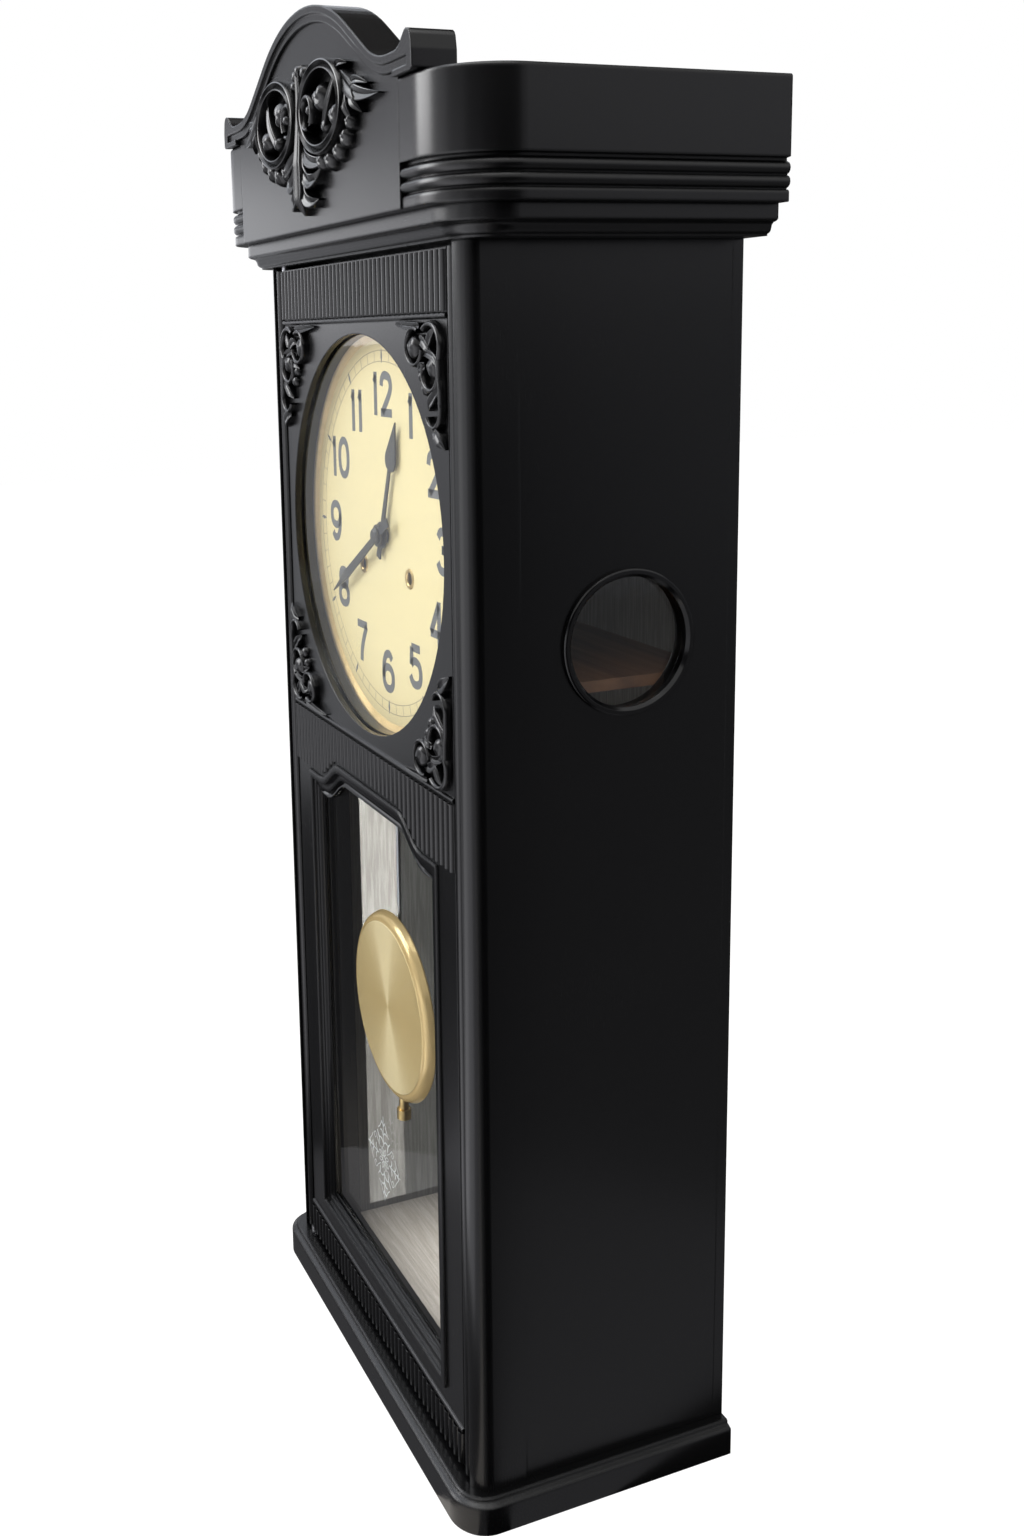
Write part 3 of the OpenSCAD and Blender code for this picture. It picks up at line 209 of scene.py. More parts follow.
# %% Lacquer finishes
LACQUER = rgb(0.0008, 0.0008, 0.0010)
LACQUER_WORN = rgb(0.0032, 0.0031, 0.0035)
WALL_WOOD = rgb(0.20, 0.19, 0.175)
WALL_WOOD_DARK = rgb(0.12, 0.11, 0.10)
FLOOR_WOOD = rgb(0.46, 0.42, 0.375)
FLOOR_WOOD_DARK = rgb(0.34, 0.305, 0.265)
ACROSS_GRAIN, ALONG_GRAIN = 1900, 90  # how often the noise changes in a metre
GRAIN_DEPTH = 0.000004


def lacquer(name, along, edge, inner=None, bare=(WALL_WOOD_DARK, WALL_WOOD), gloss=0.23):
    """along is the grain's axis; inner is a mask that picks out the bare wood inside the case."""
    f = Finish(name, IOR=1.45)
    where = f.point * tuple(ALONG_GRAIN if axis == along else ACROSS_GRAIN for axis in "xyz")
    pores = f.noise(where, 1.0, 4, 0.6).ramp(0.52, 0.72)
    fibre = f.noise(where * 0.35, 1.0, 3, 0.55)
    cloud = f.noise(f.point, 9.0, 3, 0.6)
    colour = (pores * 0.08 + cloud.ramp(0.4, 0.75) * 0.2).blend(LACQUER, LACQUER_WORN)
    rough = gloss + cloud * 0.05 + pores * 0.015
    if inner is not None:
        inside = inner(f)
        wood = fibre.ramp(0.35, 0.7).blend(*bare)
        colour = inside.blend(colour, wood)
        rough = rough + inside * 0.3
    f.set("Base Color", colour)
    f.set("Roughness", rough)
    f.relief(fibre * 0.6 - pores * 0.4, GRAIN_DEPTH, edge)
    return f.material


# %% Where the case is bare wood
# Faces inside the case, in metres.
WALL_X = 0.1270  # the side boards, left and right
FRAME_BACK = -0.0326
BACK_BOARD_FRONT = 0.0859
CASE_FLOOR = 0.0194
SOFT = 0.0002  # lacquer turns to wood over this far on both sides of a face


def inside_case(f):
    """1 on faces that look into the case: within the side boards, behind the face frame."""
    in_x = abs(f.x).ramp(WALL_X - SOFT, WALL_X + SOFT, 1.0, 0.0)
    in_y = (f.y.ramp(FRAME_BACK - SOFT, FRAME_BACK + SOFT)
            * f.y.ramp(BACK_BOARD_FRONT - SOFT, BACK_BOARD_FRONT + SOFT, 1.0, 0.0))
    return in_x * in_y


def inside_floor(f):
    """1 on the case's floor, the part of the plinth's top between the boards."""
    return inside_case(f) * f.z.ramp(CASE_FLOOR - SOFT, CASE_FLOOR + SOFT)


# %% Put the lacquer on the boards
fine = lacquer("lacquer_fine", "z", 0.0004, gloss=0.13)
dress(fine, ["door_reeds", "side_ring_left", "side_ring_right", "dial_glass_ring"])
dress(lacquer("lacquer_upright", "z", 0.0010, inside_case), [
    "back_board", "side_board_left", "side_board_right", "corner_post_left", "corner_post_right",
    "face_frame", "door_frame"])
dress(lacquer("lacquer_footing", "x", 0.0022, inside_floor, (FLOOR_WOOD_DARK, FLOOR_WOOD)),
      ["plinth"])
dress(lacquer("lacquer_moulding", "z", 0.0026), ["window_moulding"])
dress(lacquer("lacquer_level", "x", 0.0014), [
    "cornice", "top_board", "pediment_board", "arch_moulding", "crown_back_rail", "dust_board"])
dress(lacquer("lacquer_level_side", "y", 0.0016), ["crown_side_left", "crown_side_right"])
print("lacquered:", sum(o.data.materials[0].name.startswith("lacquer") for o in node.values()))

# %% [markdown]
# ## Brass, steel and the pendulum bob
#
# The bob is a brass dish whose face was spun against fine abrasive, so its scratches are circles
# round the middle. The scratches are noise of the distance from the bob's centre. The fan of light
# that such a face shows is a painted highlight: its colour is lighter along two opposite directions.
# The bevel at the rim was polished after that. Clock plates are grained in straight lines, and steel
# arbors are only turned.

# %% The bob's spun brass
BRASS = rgb(0.80, 0.58, 0.27)
BRASS_DEEP = rgb(0.56, 0.40, 0.16)
# painted highlight: the light colour of the fan on the bob's face
BRASS_PAINTED_HIGHLIGHT = rgb(1.0, 0.84, 0.52)
# the angle of the painted fan highlight on the bob's face
PAINTED_FAN_TURN = math.radians(97)
BEVEL, BEVEL_SOFT = 0.0059, 0.0003  # width of the polished rim, and how softly it starts
bob_low, bob_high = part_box("pendulum_bob")
bob_r = (bob_high.x - bob_low.x) / 2
bob_centre = Vector((0, bob_low.y, bob_high.z - bob_r))


def spun_brass():
    """Fine rings, a fan of painted highlight in the face's colour, and a polished bevel round them.
    """
    f = Finish("spun_brass", Metallic=0.28)
    dx, dz, radius = f.from_centre(bob_centre)
    angle = f.ink.sum("ARCTAN2", dz, dx)
    rings = f.noise(f.vector(radius * 2600.0, 0.0, 0.0), 1.0, 3, 0.6)
    rays = f.noise(f.vector(angle * 26.0, radius * 6.0, 0.0), 1.0, 3, 0.6)
    lean = abs(f.ink.sum("COSINE", angle - PAINTED_FAN_TURN))
    # painted highlight: lighter in two opposite lobes round the centre, with streaks, as light falls
    # on spun brass
    painted_fan = lean ** 14.0 * 0.75 + lean ** 2.0 * 0.25 + rays * 0.30
    rim = radius.ramp(bob_r - BEVEL - BEVEL_SOFT, bob_r - BEVEL + BEVEL_SOFT)
    # the face runs from the deeper brass to the painted highlight colour; the rings add a little
    face = (painted_fan + rings * 0.1).blend(BRASS_DEEP, BRASS_PAINTED_HIGHLIGHT)
    f.set("Base Color", rim.blend(face, BRASS))
    f.set("Roughness", (0.34 + rings * 0.10) * (1 - rim) + rim * 0.16)
    f.relief(rings * (1 - rim), 0.000012)
    return f.material


print("bob radius (mm):", round(bob_r / MM, 2))


# %% Grained brass and turned steel
SCRATCH_DEPTH = 0.00001


def grained_brass(name, roughness=0.24, metallic=1.0):
    """Scratches along X, and the deeper tone that old brass takes in patches."""
    f = Finish(name, Metallic=metallic)
    lines = f.noise(f.point * (30, 900, 900), 1.0, 3, 0.6)
    stain = f.noise(f.point, 60.0, 3, 0.6)
    f.set("Base Color", stain.ramp(0.4, 0.8).blend(BRASS, BRASS_DEEP))
    f.set("Roughness", roughness + lines * 0.12 + stain * 0.08)
    f.relief(lines, SCRATCH_DEPTH)
    return f.material


def turned_steel(name, tint, roughness):
    """Marks that run up and down the piece."""
    f = Finish(name, Metallic=1.0)
    lines = f.noise(f.point * (900, 900, 60), 1.0, 3, 0.6)
    f.set("Base Color", lines.blend(tint, shade(tint, 0.7)))
    f.set("Roughness", roughness + lines * 0.12)
    f.relief(lines, SCRATCH_DEPTH)
    return f.material


# %% Put the metals on
metals = {
    spun_brass(): ["pendulum_bob"],
    grained_brass("plate_brass"): [
        "minute_wheel", "front_plate", "back_plate", "time_barrel", "strike_barrel", "centre_wheel",
        "third_wheel", "escape_wheel", "pin_wheel", "pendulum_cock", "rating_nut", "door_catch",
        "catch_stud", "winding_grommets"],
    grained_brass("rim_brass", 0.40, 0.5): ["dial_ring"],
    turned_steel("arbor_steel", rgb(0.52, 0.52, 0.54), 0.26): [
        "plate_pillars", "time_arbor", "strike_arbor", "pallets_and_crutch", "fly",
        "suspension_spring", "pendulum_rod", "door_pivot_pins", "wall_hanger"],
    turned_steel("blued_steel", rgb(0.10, 0.11, 0.15), 0.3): ["gong_coil", "gong_block", "hammer"],
}
for material, names in metals.items():
    dress(material, names)
print("metal pieces:", sum(len(names) for names in metals.values()))

# %% [markdown]
# ## Glass
#
# Window glass shows what stands behind it, and more of its own reflection the flatter one looks
# along it. A thin pane needs no refraction: a clear shader and a mirror are mixed by how flatly the
# pane is seen, by the fifth-power rule for glass, which also lets lamps light the case through it.

# %% Glass finish
HEAD_ON = 0.04  # the share of light that glass mirrors when it is looked at squarely


def pane(name, tint):
    """Clear glass and mirror mixed by the angle; tint colours what shows through."""
    material, ink = new_material(name, principled=False)
    ripple = ink.make("ShaderNodeTexNoise", sockets={"Scale": 14.0, "Detail": 1.0})
    wavy = ink.make("ShaderNodeBump", sockets={"Height": ripple, "Distance": 0.00004})
    mirror = ink.make("ShaderNodeBsdfGlossy", sockets={"Roughness": 0.01, "Normal": wavy})
    clear = ink.make("ShaderNodeBsdfTransparent", sockets={"Color": tint})
    facing = ink.make("ShaderNodeLayerWeight", sockets={"Blend": 0.5}, out="Facing")
    mirrored = facing ** 5.0 * (1 - HEAD_ON) + HEAD_ON
    set_surface(ink.make("ShaderNodeMixShader", sockets={0: mirrored, 1: clear, 2: mirror}))
    return material


panes = ["window_glass", "dial_glass", "side_glass_left", "side_glass_right"]
dress(pane("window_pane", rgb(0.96, 0.97, 0.965)), panes)
print("panes:", len(panes))

# %% [markdown]
# ## Dial paint, hands and the seat board
#
# The dial is a steel disc in baked cream enamel: nearly one colour, a little deeper towards its
# edge, with a faint orange peel. The hands are dark grey lacquer. The seat board that carries the
# movement was only brushed with brown varnish, so its grain is open.

# %% Paint and varnish
CREAM = rgb(0.99, 0.85, 0.48)
CREAM_DEEP = rgb(0.95, 0.76, 0.37)
VARNISH = rgb(0.16, 0.075, 0.035)
VARNISH_DEEP = rgb(0.05, 0.02, 0.01)


def enamel():
    """Cream that deepens towards the dial's edge, with orange peel."""
    f = Finish("cream_enamel", Coat_Weight=0.3, Coat_Roughness=0.08)
    radius = f.from_centre(dial_centre)[-1]
    mottle = f.noise(f.point, 40.0, 3, 0.6)
    f.set("Base Color", (radius.ramp(0.070, 0.118) * 0.5 + mottle * 0.12).blend(CREAM, CREAM_DEEP))
    f.set("Roughness", 0.34 + mottle * 0.12)
    f.relief(f.noise(f.point, 900.0, 2, 0.5), 0.00001)
    return f.material


def hand_paint(name, tint, roughness=0.35):
    """Paint or printing ink with a fleck."""
    f = Finish(name)
    fleck = f.noise(f.point, 500.0, 3, 0.6)
    f.set("Base Color", fleck.blend(tint, shade(tint, 1.3)))
    f.set("Roughness", roughness + fleck * 0.15)
    f.relief(fleck, 0.00001, 0.0002)
    return f.material


def varnish():
    """Open grain along X under brown varnish."""
    f = Finish("brown_varnish")
    grain = f.noise(f.point * (14, 260, 260), 1.0, 4, 0.6)
    bands = f.noise(f.point * (3, 60, 60), 1.0, 2, 0.5)
    streaks = grain * 0.6 + bands.ramp(0.35, 0.7) * 0.4
    f.set("Base Color", streaks.blend(VARNISH, VARNISH_DEEP))
    f.set("Roughness", 0.42 + grain * 0.2)
    f.relief(grain, 0.00015, 0.0005)
    return f.material


dress(enamel(), ["dial"])
dress(varnish(), ["seat_board"])
dress(hand_paint("hand_grey", rgb(0.030, 0.031, 0.036)), ["hour_hand", "minute_hand", "hand_nut"])
print("materials in the file:", len(bpy.data.materials))

# %% [markdown]
# ## Building pieces from swept strokes
#
# Carving, print and etching are all strokes: a middle line whose width changes. A helper smooths
# the line through its points, and another lays a cross-section over it, so one list of numbers can
# become a round scroll, a hollowed leaf or a flat printed figure.

# %% Smooth lines
def smooth_line(points, steps=6):
    """A curve through the points, which are tuples of any length."""
    out = []
    last = len(points) - 1
    for i in range(last):
        before, start, end, after = (points[max(i - 1, 0)], points[i], points[i + 1],
                                     points[min(i + 2, last)])
        for k in range(steps):
            t = k / steps
            out.append(tuple(
                0.5 * (2 * b + (c - a) * t + (2 * a - 5 * b + 4 * c - d) * t * t
                       + (3 * b - a - 3 * c + d) * t ** 3)
                for a, b, c, d in zip(before, start, end, after)))
    return out + [tuple(points[-1])]


def curl(x, z, rx, rz, a0, a1, w0, w1, n=14):
    """The middle line of a scroll: part of an oval, as (x, z, half width)."""
    return [(x + rx * math.cos(math.radians(a0 + (a1 - a0) * i / n)),
             z + rz * math.sin(math.radians(a0 + (a1 - a0) * i / n)),
             w0 + (w1 - w0) * i / n) for i in range(n + 1)]


def directions(line):
    """Unit direction at each point of a line in X and Z."""
    out = []
    for i in range(len(line)):
        a, b = line[max(i - 1, 0)], line[min(i + 1, len(line) - 1)]
        length = math.hypot(b[0] - a[0], b[1] - a[1]) or 1.0
        out.append(((b[0] - a[0]) / length, (b[1] - a[1]) / length))
    return out


# %% A shape that grows stroke by stroke
SHARP = math.radians(42)  # a fold steeper than this stays a crisp edge
BOTH_SIDES = ((1, 1), (-1, 1))
FOUR_CORNERS = ((1, 1), (-1, 1), (1, -1), (-1, -1))


class Shape:
    """Faces gathered for one object. Points are (x, height, z) in millimetres from a face."""

    def __init__(self):
        self.points, self.faces = [], []

    def grid(self, rows, closed=False):
        """Joins rows of equally many points with quads; closed joins the last row to the first."""
        start, wide = len(self.points), len(rows[0])
        for row in rows:
            self.points += row
        turns = len(rows) if closed else len(rows) - 1
        for i in range(turns):
            a, b = start + i * wide, start + (i + 1) % len(rows) * wide
            for j in range(wide - 1):
                self.faces.append((a + j, b + j, b + j + 1, a + j + 1))

    def sweep(self, line, section, closed=False):
        """Lays a section over a line of (x, z, half width). The section gives (across, height)."""
        rows = []
        for (x, z, w), (dx, dz) in zip(line, directions(line)):
            rows.append([(x - dz * a, h, z + dx * a) for a, h in section(w)])
        if closed:
            rows = rows[:-1]
        self.grid(rows, closed)

    def dome(self, x, z, r, tall, swirl=0.0, rings=7, around=28):
        """A berry or petal: half a flattened ball, with an optional gouged swirl."""
        rows = []
        for i in range(around):
            a = 2 * math.pi * i / around
            row = []
            for j in range(rings + 1):
                t = math.pi / 2 * j / rings
                out = math.cos(t)
                dent = swirl * math.sin(a * 3 + t * 2.4) * math.sin(2 * t)
                row.append((x + r * out * math.cos(a), tall * ((1 - out ** 3) ** 0.6 - dent),
                            z + r * out * math.sin(a)))
            rows.append(row)
        self.grid(rows, closed=True)

    def piece(self, name, origin, body, material, mirrors=((1, 1),), smooth=True):
        """Makes the object. Heights stand out towards -Y; mirrors are signs of X and Z."""
        points, faces = [], []
        for mx, mz in mirrors:
            start = len(points)
            points += [(origin[0] + mx * x * MM, origin[1] - h * MM, origin[2] + mz * z * MM)
                       for x, h, z in self.points]
            flip = mx * mz < 0
            faces += [tuple(start + k for k in (reversed(f) if flip else f)) for f in self.faces]
        mesh = bpy.data.meshes.new(name)
        mesh.from_pydata(points, [], faces)
        mesh.update()
        mesh.polygons.foreach_set("use_smooth", [smooth] * len(faces))
        mesh.set_sharp_from_angle(angle=SHARP)
        mesh.materials.append(material)
        made = bpy.data.objects.new(name, mesh)
        bpy.context.scene.collection.objects.link(made)
        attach(made, body)
        print(name, "faces:", len(faces))
        return made


# %% Cross-sections
SINK = 0.4  # a carved stroke reaches this far into its board


def rope(tall):
    """A round scroll: half an oval standing on the board."""
    def section(w):
        return [(-w, -SINK)] + [(-w * math.cos(math.pi * k / 10),
                                 tall * math.sin(math.pi * k / 10) ** 0.55)
                                for k in range(11)] + [(w, -SINK)]
    return section


def leaf(tall, full):
    """A hollowed leaf: raised rims and a vein, lower where it is narrower than full."""
    def section(w):
        rise = tall * min(1.0, 0.35 + 0.65 * w / full)
        half = [(1.0, -SINK), (1.0, rise * 0.8), (0.9, rise * 0.97), (0.78, rise),
                (0.5, rise * 0.92), (0.15, rise * 0.88)]
        return ([(-w * a, h) for a, h in half] + [(0, rise * 0.78)]
                + [(w * a, h) for a, h in reversed(half)])
    return section


def channel(tall):
    """A band with two raised rims and a V cut between them."""
    def section(w):
        return [(-w, -SINK), (-w, tall * 0.8), (-w * 0.86, tall * 0.97), (-w * 0.62, tall),
                (-w * 0.42, tall * 0.9), (0, tall * 0.62), (w * 0.42, tall * 0.9), (w * 0.62, tall),
                (w * 0.86, tall * 0.97), (w, tall * 0.8), (w, -SINK)]
    return section


def print_flat(lift):
    """Printer's ink: a flat film."""
    def section(w):
        return [(-w, 0.0), (-w, lift), (w, lift), (w, 0.0)]
    return section


# %% Carve strokes into a board
def carve(shape, tall, ropes, berries, leaves, leaf_share):
    """Adds scrolls, then berries, then leaves. A share is of tall, the room the board gives."""
    for line, share in ropes:
        shape.sweep(line, rope(tall * share))
    for x, z, r, share, swirl in berries:
        shape.dome(x, z, r, tall * share, swirl)
    for line, full in leaves:
        shape.sweep(smooth_line(line), leaf(tall * leaf_share, full))


# %% [markdown]
# ## The carved pediment
#
# The ornament over the door is carved from one plank: two big scrolls with berries and petals
# inside, a stem with a crest of lobes, hanging leaves, and a long leaf to each side. It could be
# sculpted by hand, but strokes repeat exactly on both sides and stay editable. The drawing's flat
# outline is hidden and this relief stands for it, within the same plank.

# %% The right half's strokes, in millimetres from the scrolls' centre
PEDIMENT_RING = curl(35.5, 7.5, 28.9, 20.4, 0, 360, 2.6, 2.6, 60)
PEDIMENT_ROPES = [  # line, share
    (curl(15.5, 7, 7.6, 8.2, -40, 290, 1.9, 1.7, 30), 0.95),
    (smooth_line([(13, 0, 1.3), (15.5, 3.5, 1.5), (18.5, 8, 1.6)]), 0.6)]
PEDIMENT_BERRIES = [  # x, z, radius, share, swirl
    (18.5, 8, 3.6, 0.95, 0), (31, 12.5, 8, 0.9, 0.10), (53.5, 1, 6.8, 0.95, 0.06),
    (38, -2, 4.4, 0.8, 0), (6.5, 28.5, 3.8, 0.75, 0), (11, 24, 3.4, 0.65, 0),
    (28, -18, 5.6, 0.7, 0.08), (40, -18.5, 6, 0.7, 0.08), (52, -15.5, 6, 0.7, 0.08),
    (62, -10.5, 5.8, 0.7, 0.08), (69, -4, 4.6, 0.7, 0.08)]
PEDIMENT_LEAVES = [  # points with their half widths, and the width of a full leaf
    ([(57, 20, 2.2), (63, 17.5, 3.6), (71, 12.5, 4.6), (80, 8, 4.2), (91, 5.5, 2.8),
      (104, 4.4, 0.4)], 5),
    ([(66, 12, 2), (68.5, 5, 3.4), (70, 0, 2.6), (71.5, -4.5, 0.4)], 3.4),
    ([(74, 10, 2), (79, 3.5, 2.8), (83.5, -1.5, 0.4)], 3),
    ([(74, 12, 1.6), (82, 13.4, 2.2), (91.5, 10.6, 0.4)], 2.4),
    ([(56, 22, 1.4), (60, 24.5, 2.2), (65.5, 24, 0.5)], 2.4),
    ([(2, -10, 2.6), (5, -20, 4), (12, -26, 4.4), (20, -26, 3.2), (26, -21, 0.6)], 4),
    ([(2, -24, 3), (8, -34, 4), (14, -37, 3), (20, -36, 0.6)], 4),
    ([(4, -9, 2.4), (12, -15, 4), (22, -18, 3.4), (32, -18, 1.5)], 4),
    ([(38, -2, 2.4), (45, 7, 3), (50, 15, 2.4), (54, 23, 1.2)], 3)]
PEDIMENT_STEM = [(0, 30, 3.6), (0, 24, 3.2), (0, 10, 3.2), (0, -10, 4.4), (0, -24, 6),
                 (0, -34, 5.4), (0, -43, 0.6)]
print("pediment strokes:", len(PEDIMENT_ROPES) + len(PEDIMENT_BERRIES) + len(PEDIMENT_LEAVES))

# %% Carve the pediment
TAIL = 43.0  # from the scrolls' centre down to the tip of the stem, the plank's lowest point
carving_low, carving_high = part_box("pediment_carving")
carving_tall = (carving_high.y - carving_low.y) / MM
scroll_origin = (0, carving_high.y, carving_low.z + TAIL * MM)
carved = lacquer("lacquer_carved", "z", 0.0)

scrolls = Shape()
scrolls.sweep(PEDIMENT_RING, channel(carving_tall), closed=True)
carve(scrolls, carving_tall, PEDIMENT_ROPES, PEDIMENT_BERRIES, PEDIMENT_LEAVES, 0.85)
pediment_relief = scrolls.piece("pediment_relief", scroll_origin, "case", carved,
                                mirrors=BOTH_SIDES)
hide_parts("pediment_carving")

stem = Shape()
stem.sweep(smooth_line(PEDIMENT_STEM), leaf(carving_tall * 0.97, 5))
stem.dome(0, 30, 4, carving_tall * 0.85)
stem.piece("pediment_stem", scroll_origin, "case", carved)

# %% [markdown]
# ## The corner ornaments of the door
#
# The same kind of carving fills the four corners round the dial, only lower. One corner is drawn
# from the dial's centre and mirrored to the other three, as the carver's template would be.

# %% One corner's strokes, in millimetres from the dial's centre
CORNER_ROPES = [(line, 1) for line in (
    curl(87, 104.5, 9.6, 9, 60, 350, 1.5, 1.2, 30),
    curl(105.5, 104.5, 11.6, 10.8, 130, -40, 1.6, 1.9, 24),
    curl(106, 92, 9.2, 8.6, 150, 420, 1.5, 1.5, 30),
    curl(109, 75, 8.4, 9.4, 20, -150, 1.7, 1.2, 24),
    smooth_line([(115.5, 98, 1.9), (116, 90, 1.8), (117, 84, 1.8), (117.2, 77, 1.7)]))]
CORNER_BERRIES = [(84, 104, 6.4, 1, 0.05), (107, 94.5, 6, 1, 0.05), (97, 84, 3.6, 0.8, 0),
                  (93, 90, 3.2, 0.8, 0)]
CORNER_LEAVES = [
    ([(61, 116, 0.4), (70, 115.4, 1.7), (82, 114.6, 2.2), (93, 114.4, 1.6)], 2),
    ([(92, 106.5, 0.5), (96, 107.5, 2.8), (101, 105, 2.6), (106, 101, 1.2)], 2.6),
    ([(101, 102, 0.8), (104.5, 107, 2.8), (108, 111, 2.2), (110, 113.5, 0.6)], 2.6),
    ([(93, 100, 0.6), (101, 101.5, 2), (110, 99.5, 2.4), (116, 95, 1.8)], 2.2),
    ([(89, 92, 0.5), (94, 94.5, 2.4), (100, 95, 2)], 2.2),
    ([(101, 74, 0.8), (106, 78, 3), (111, 81.5, 2.6), (117, 85, 1.4)], 2.6),
    ([(106, 64, 1.4), (111, 62.5, 3.6), (115, 59.5, 3.4), (118.4, 55.8, 0.6)], 3.4)]
print("corner strokes:", len(CORNER_ROPES) + len(CORNER_BERRIES) + len(CORNER_LEAVES))

# %% Carve the corners
corner_low, corner_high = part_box("door_carvings")
corner_tall = (corner_high.y - corner_low.y) / MM
corner = Shape()
carve(corner, corner_tall, CORNER_ROPES, CORNER_BERRIES, CORNER_LEAVES, 0.9)
corner_relief = corner.piece("corner_relief", (dial_centre.x, corner_high.y, dial_centre.z), "door",
                             carved, mirrors=FOUR_CORNERS)
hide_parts("door_carvings")

# %% [markdown]
# ## Figures and minute track on the dial
#
# The dial is printed with plain bold figures, a fine ladder of minutes and a slim mark at each
# hour. A font would bring somebody's lettering, so each figure is drawn here as a few strokes of
# one width, which is how a signwriter makes a block figure.

# %% The ten figures
def ring_line(x, z, rx, rz, n=40, power=2.25):
    """A slightly squared oval, the shape of a block figure's bowl; power 2 is a true oval."""
    out = []
    for i in range(n + 1):
        a = math.radians(360 * i / n)
        c, d = math.cos(a), math.sin(a)
        out.append((x + rx * math.copysign(abs(c) ** (2 / power), c),
                    z + rz * math.copysign(abs(d) ** (2 / power), d)))
    return out


SPINE = [(0.90, 0.86), (0.70, 0.985), (0.50, 1.0), (0.25, 0.93), (0.06, 0.72), (0.0, 0.48),
         (0.0, 0.28)]
FIGURES = {  # middle lines in a box 1 wide and 1 tall, less half a stroke all round
    "0": [ring_line(0.5, 0.5, 0.5, 0.5)],
    "1": [[(0.5, -0.09), (0.5, 1.09)], [(0.06, 0.80), (0.34, 0.88), (0.5, 1.0)]],
    "2": [smooth_line([(0.02, 0.72), (0.08, 0.90), (0.28, 1.0), (0.52, 1.0), (0.84, 0.93),
                       (0.98, 0.74), (0.88, 0.55), (0.50, 0.27), (0.10, 0.0)]),
          [(-0.07, 0.0), (1.08, 0.0)]],
    "3": [smooth_line([(0.03, 0.84), (0.22, 0.98), (0.50, 1.0), (0.82, 0.93), (0.92, 0.76),
                       (0.80, 0.60), (0.50, 0.54), (0.34, 0.54)]),
          smooth_line([(0.34, 0.54), (0.50, 0.54), (0.86, 0.46), (1.0, 0.27), (0.86, 0.06),
                       (0.50, -0.01), (0.18, 0.03), (-0.02, 0.20)])],
    "4": [[(0.72, 1.0), (0.0, 0.24)], [(-0.06, 0.22), (1.10, 0.22)],
          [(0.74, 1.09), (0.74, -0.09)]],
    "5": [[(0.12, 1.0), (0.96, 1.0)], [(0.14, 1.0), (0.08, 0.50)],
          smooth_line([(0.08, 0.52), (0.28, 0.62), (0.52, 0.64), (0.86, 0.56), (1.0, 0.32),
                       (0.88, 0.08), (0.50, -0.01), (0.18, 0.04), (-0.02, 0.20)])],
    "6": [ring_line(0.5, 0.31, 0.5, 0.31), smooth_line(SPINE)],
    "7": [[(-0.05, 1.0), (1.06, 1.0)],
          smooth_line([(0.98, 0.98), (0.66, 0.62), (0.44, 0.28), (0.36, -0.09)])],
    "8": [ring_line(0.5, 0.77, 0.42, 0.23), ring_line(0.5, 0.27, 0.5, 0.27)],
    "9": [ring_line(0.5, 0.69, 0.5, 0.31), smooth_line([(1 - x, 1 - z) for x, z in SPINE])],
}
print("figures drawn:", "".join(FIGURES))

# %% Print the figures
FIGURE_TALL, FIGURE_WIDE, ONE_WIDE, FIGURE_GAP = 25.0, 18.4, 9.6, 1.4
STROKE = 2.3  # half the width of a stroke
NUMERAL_R = 78.35
FIGURE_FILM, TRACK_FILM, MARK_FILM = 0.08, 0.05, 0.07  # thickness of the ink


def draw_figures(shape, text, x, z):
    """Places one or two figures round a point on the dial."""
    wide = [ONE_WIDE if c == "1" else FIGURE_WIDE for c in text]
    left = x - (sum(wide) + FIGURE_GAP * (len(text) - 1)) / 2
    for c, w in zip(text, wide):
        inner_w, inner_h = w - 2 * STROKE, FIGURE_TALL - 2 * STROKE
        for line in FIGURES[c]:
            placed = [(left + STROKE + px * inner_w, z - inner_h / 2 + pz * inner_h, STROKE)
                      for px, pz in line]
            shape.sweep(placed, print_flat(FIGURE_FILM))
        left += w + FIGURE_GAP


numerals = Shape()
for hour in range(1, 13):
    a = math.radians(90 - 30 * hour)
    draw_figures(numerals, str(hour), NUMERAL_R * math.cos(a), NUMERAL_R * math.sin(a))
figure_ink = hand_paint("figure_ink", rgb(0.11, 0.113, 0.125), 0.5)
numerals.piece("dial_numerals", dial_centre, "case", figure_ink, smooth=False)

# %% Print the minute track and the hour marks
TRACK_IN, TRACK_OUT, TRACK_HALF = 96.2, 102.2, 0.2  # radii, and half the width of a line
HOUR_MARK = ((95.2, 0.15), (99.2, 1.15), (103.2, 0.15))  # radius and half width along it


def spoke(degrees, rows):
    """A stroke straight out from the dial's centre; rows give its radii and half widths."""
    a = math.radians(degrees)
    return [(r * math.sin(a), r * math.cos(a), w) for r, w in rows]


track = Shape()
for radius in (TRACK_IN, TRACK_OUT):
    circle = ring_line(0, 0, radius, radius, n=180, power=2.0)
    track.sweep([(x, z, TRACK_HALF) for x, z in circle], print_flat(TRACK_FILM))
for minute in range(60):
    track.sweep(spoke(6 * minute, ((TRACK_IN, TRACK_HALF), (TRACK_OUT, TRACK_HALF))),
                print_flat(TRACK_FILM))
track_ink = hand_paint("track_ink", rgb(0.34, 0.27, 0.17), 0.5)
track.piece("minute_track", dial_centre, "case", track_ink, smooth=False)

hours = Shape()
for hour in range(12):
    hours.sweep(spoke(30 * hour, HOUR_MARK), print_flat(MARK_FILM))
hours.piece("hour_marks", dial_centre, "case", figure_ink, smooth=False)

# %% [markdown]
# ## The etched ornament on the window
#
# A small diamond of leaves and curls is etched into the pendulum window. Etched glass scatters
# light, so it reads as thin white lines. They are flat strokes on the pane's front, a few
# hundredths of a millimetre proud, with a soft white material that lets some of the dark show.

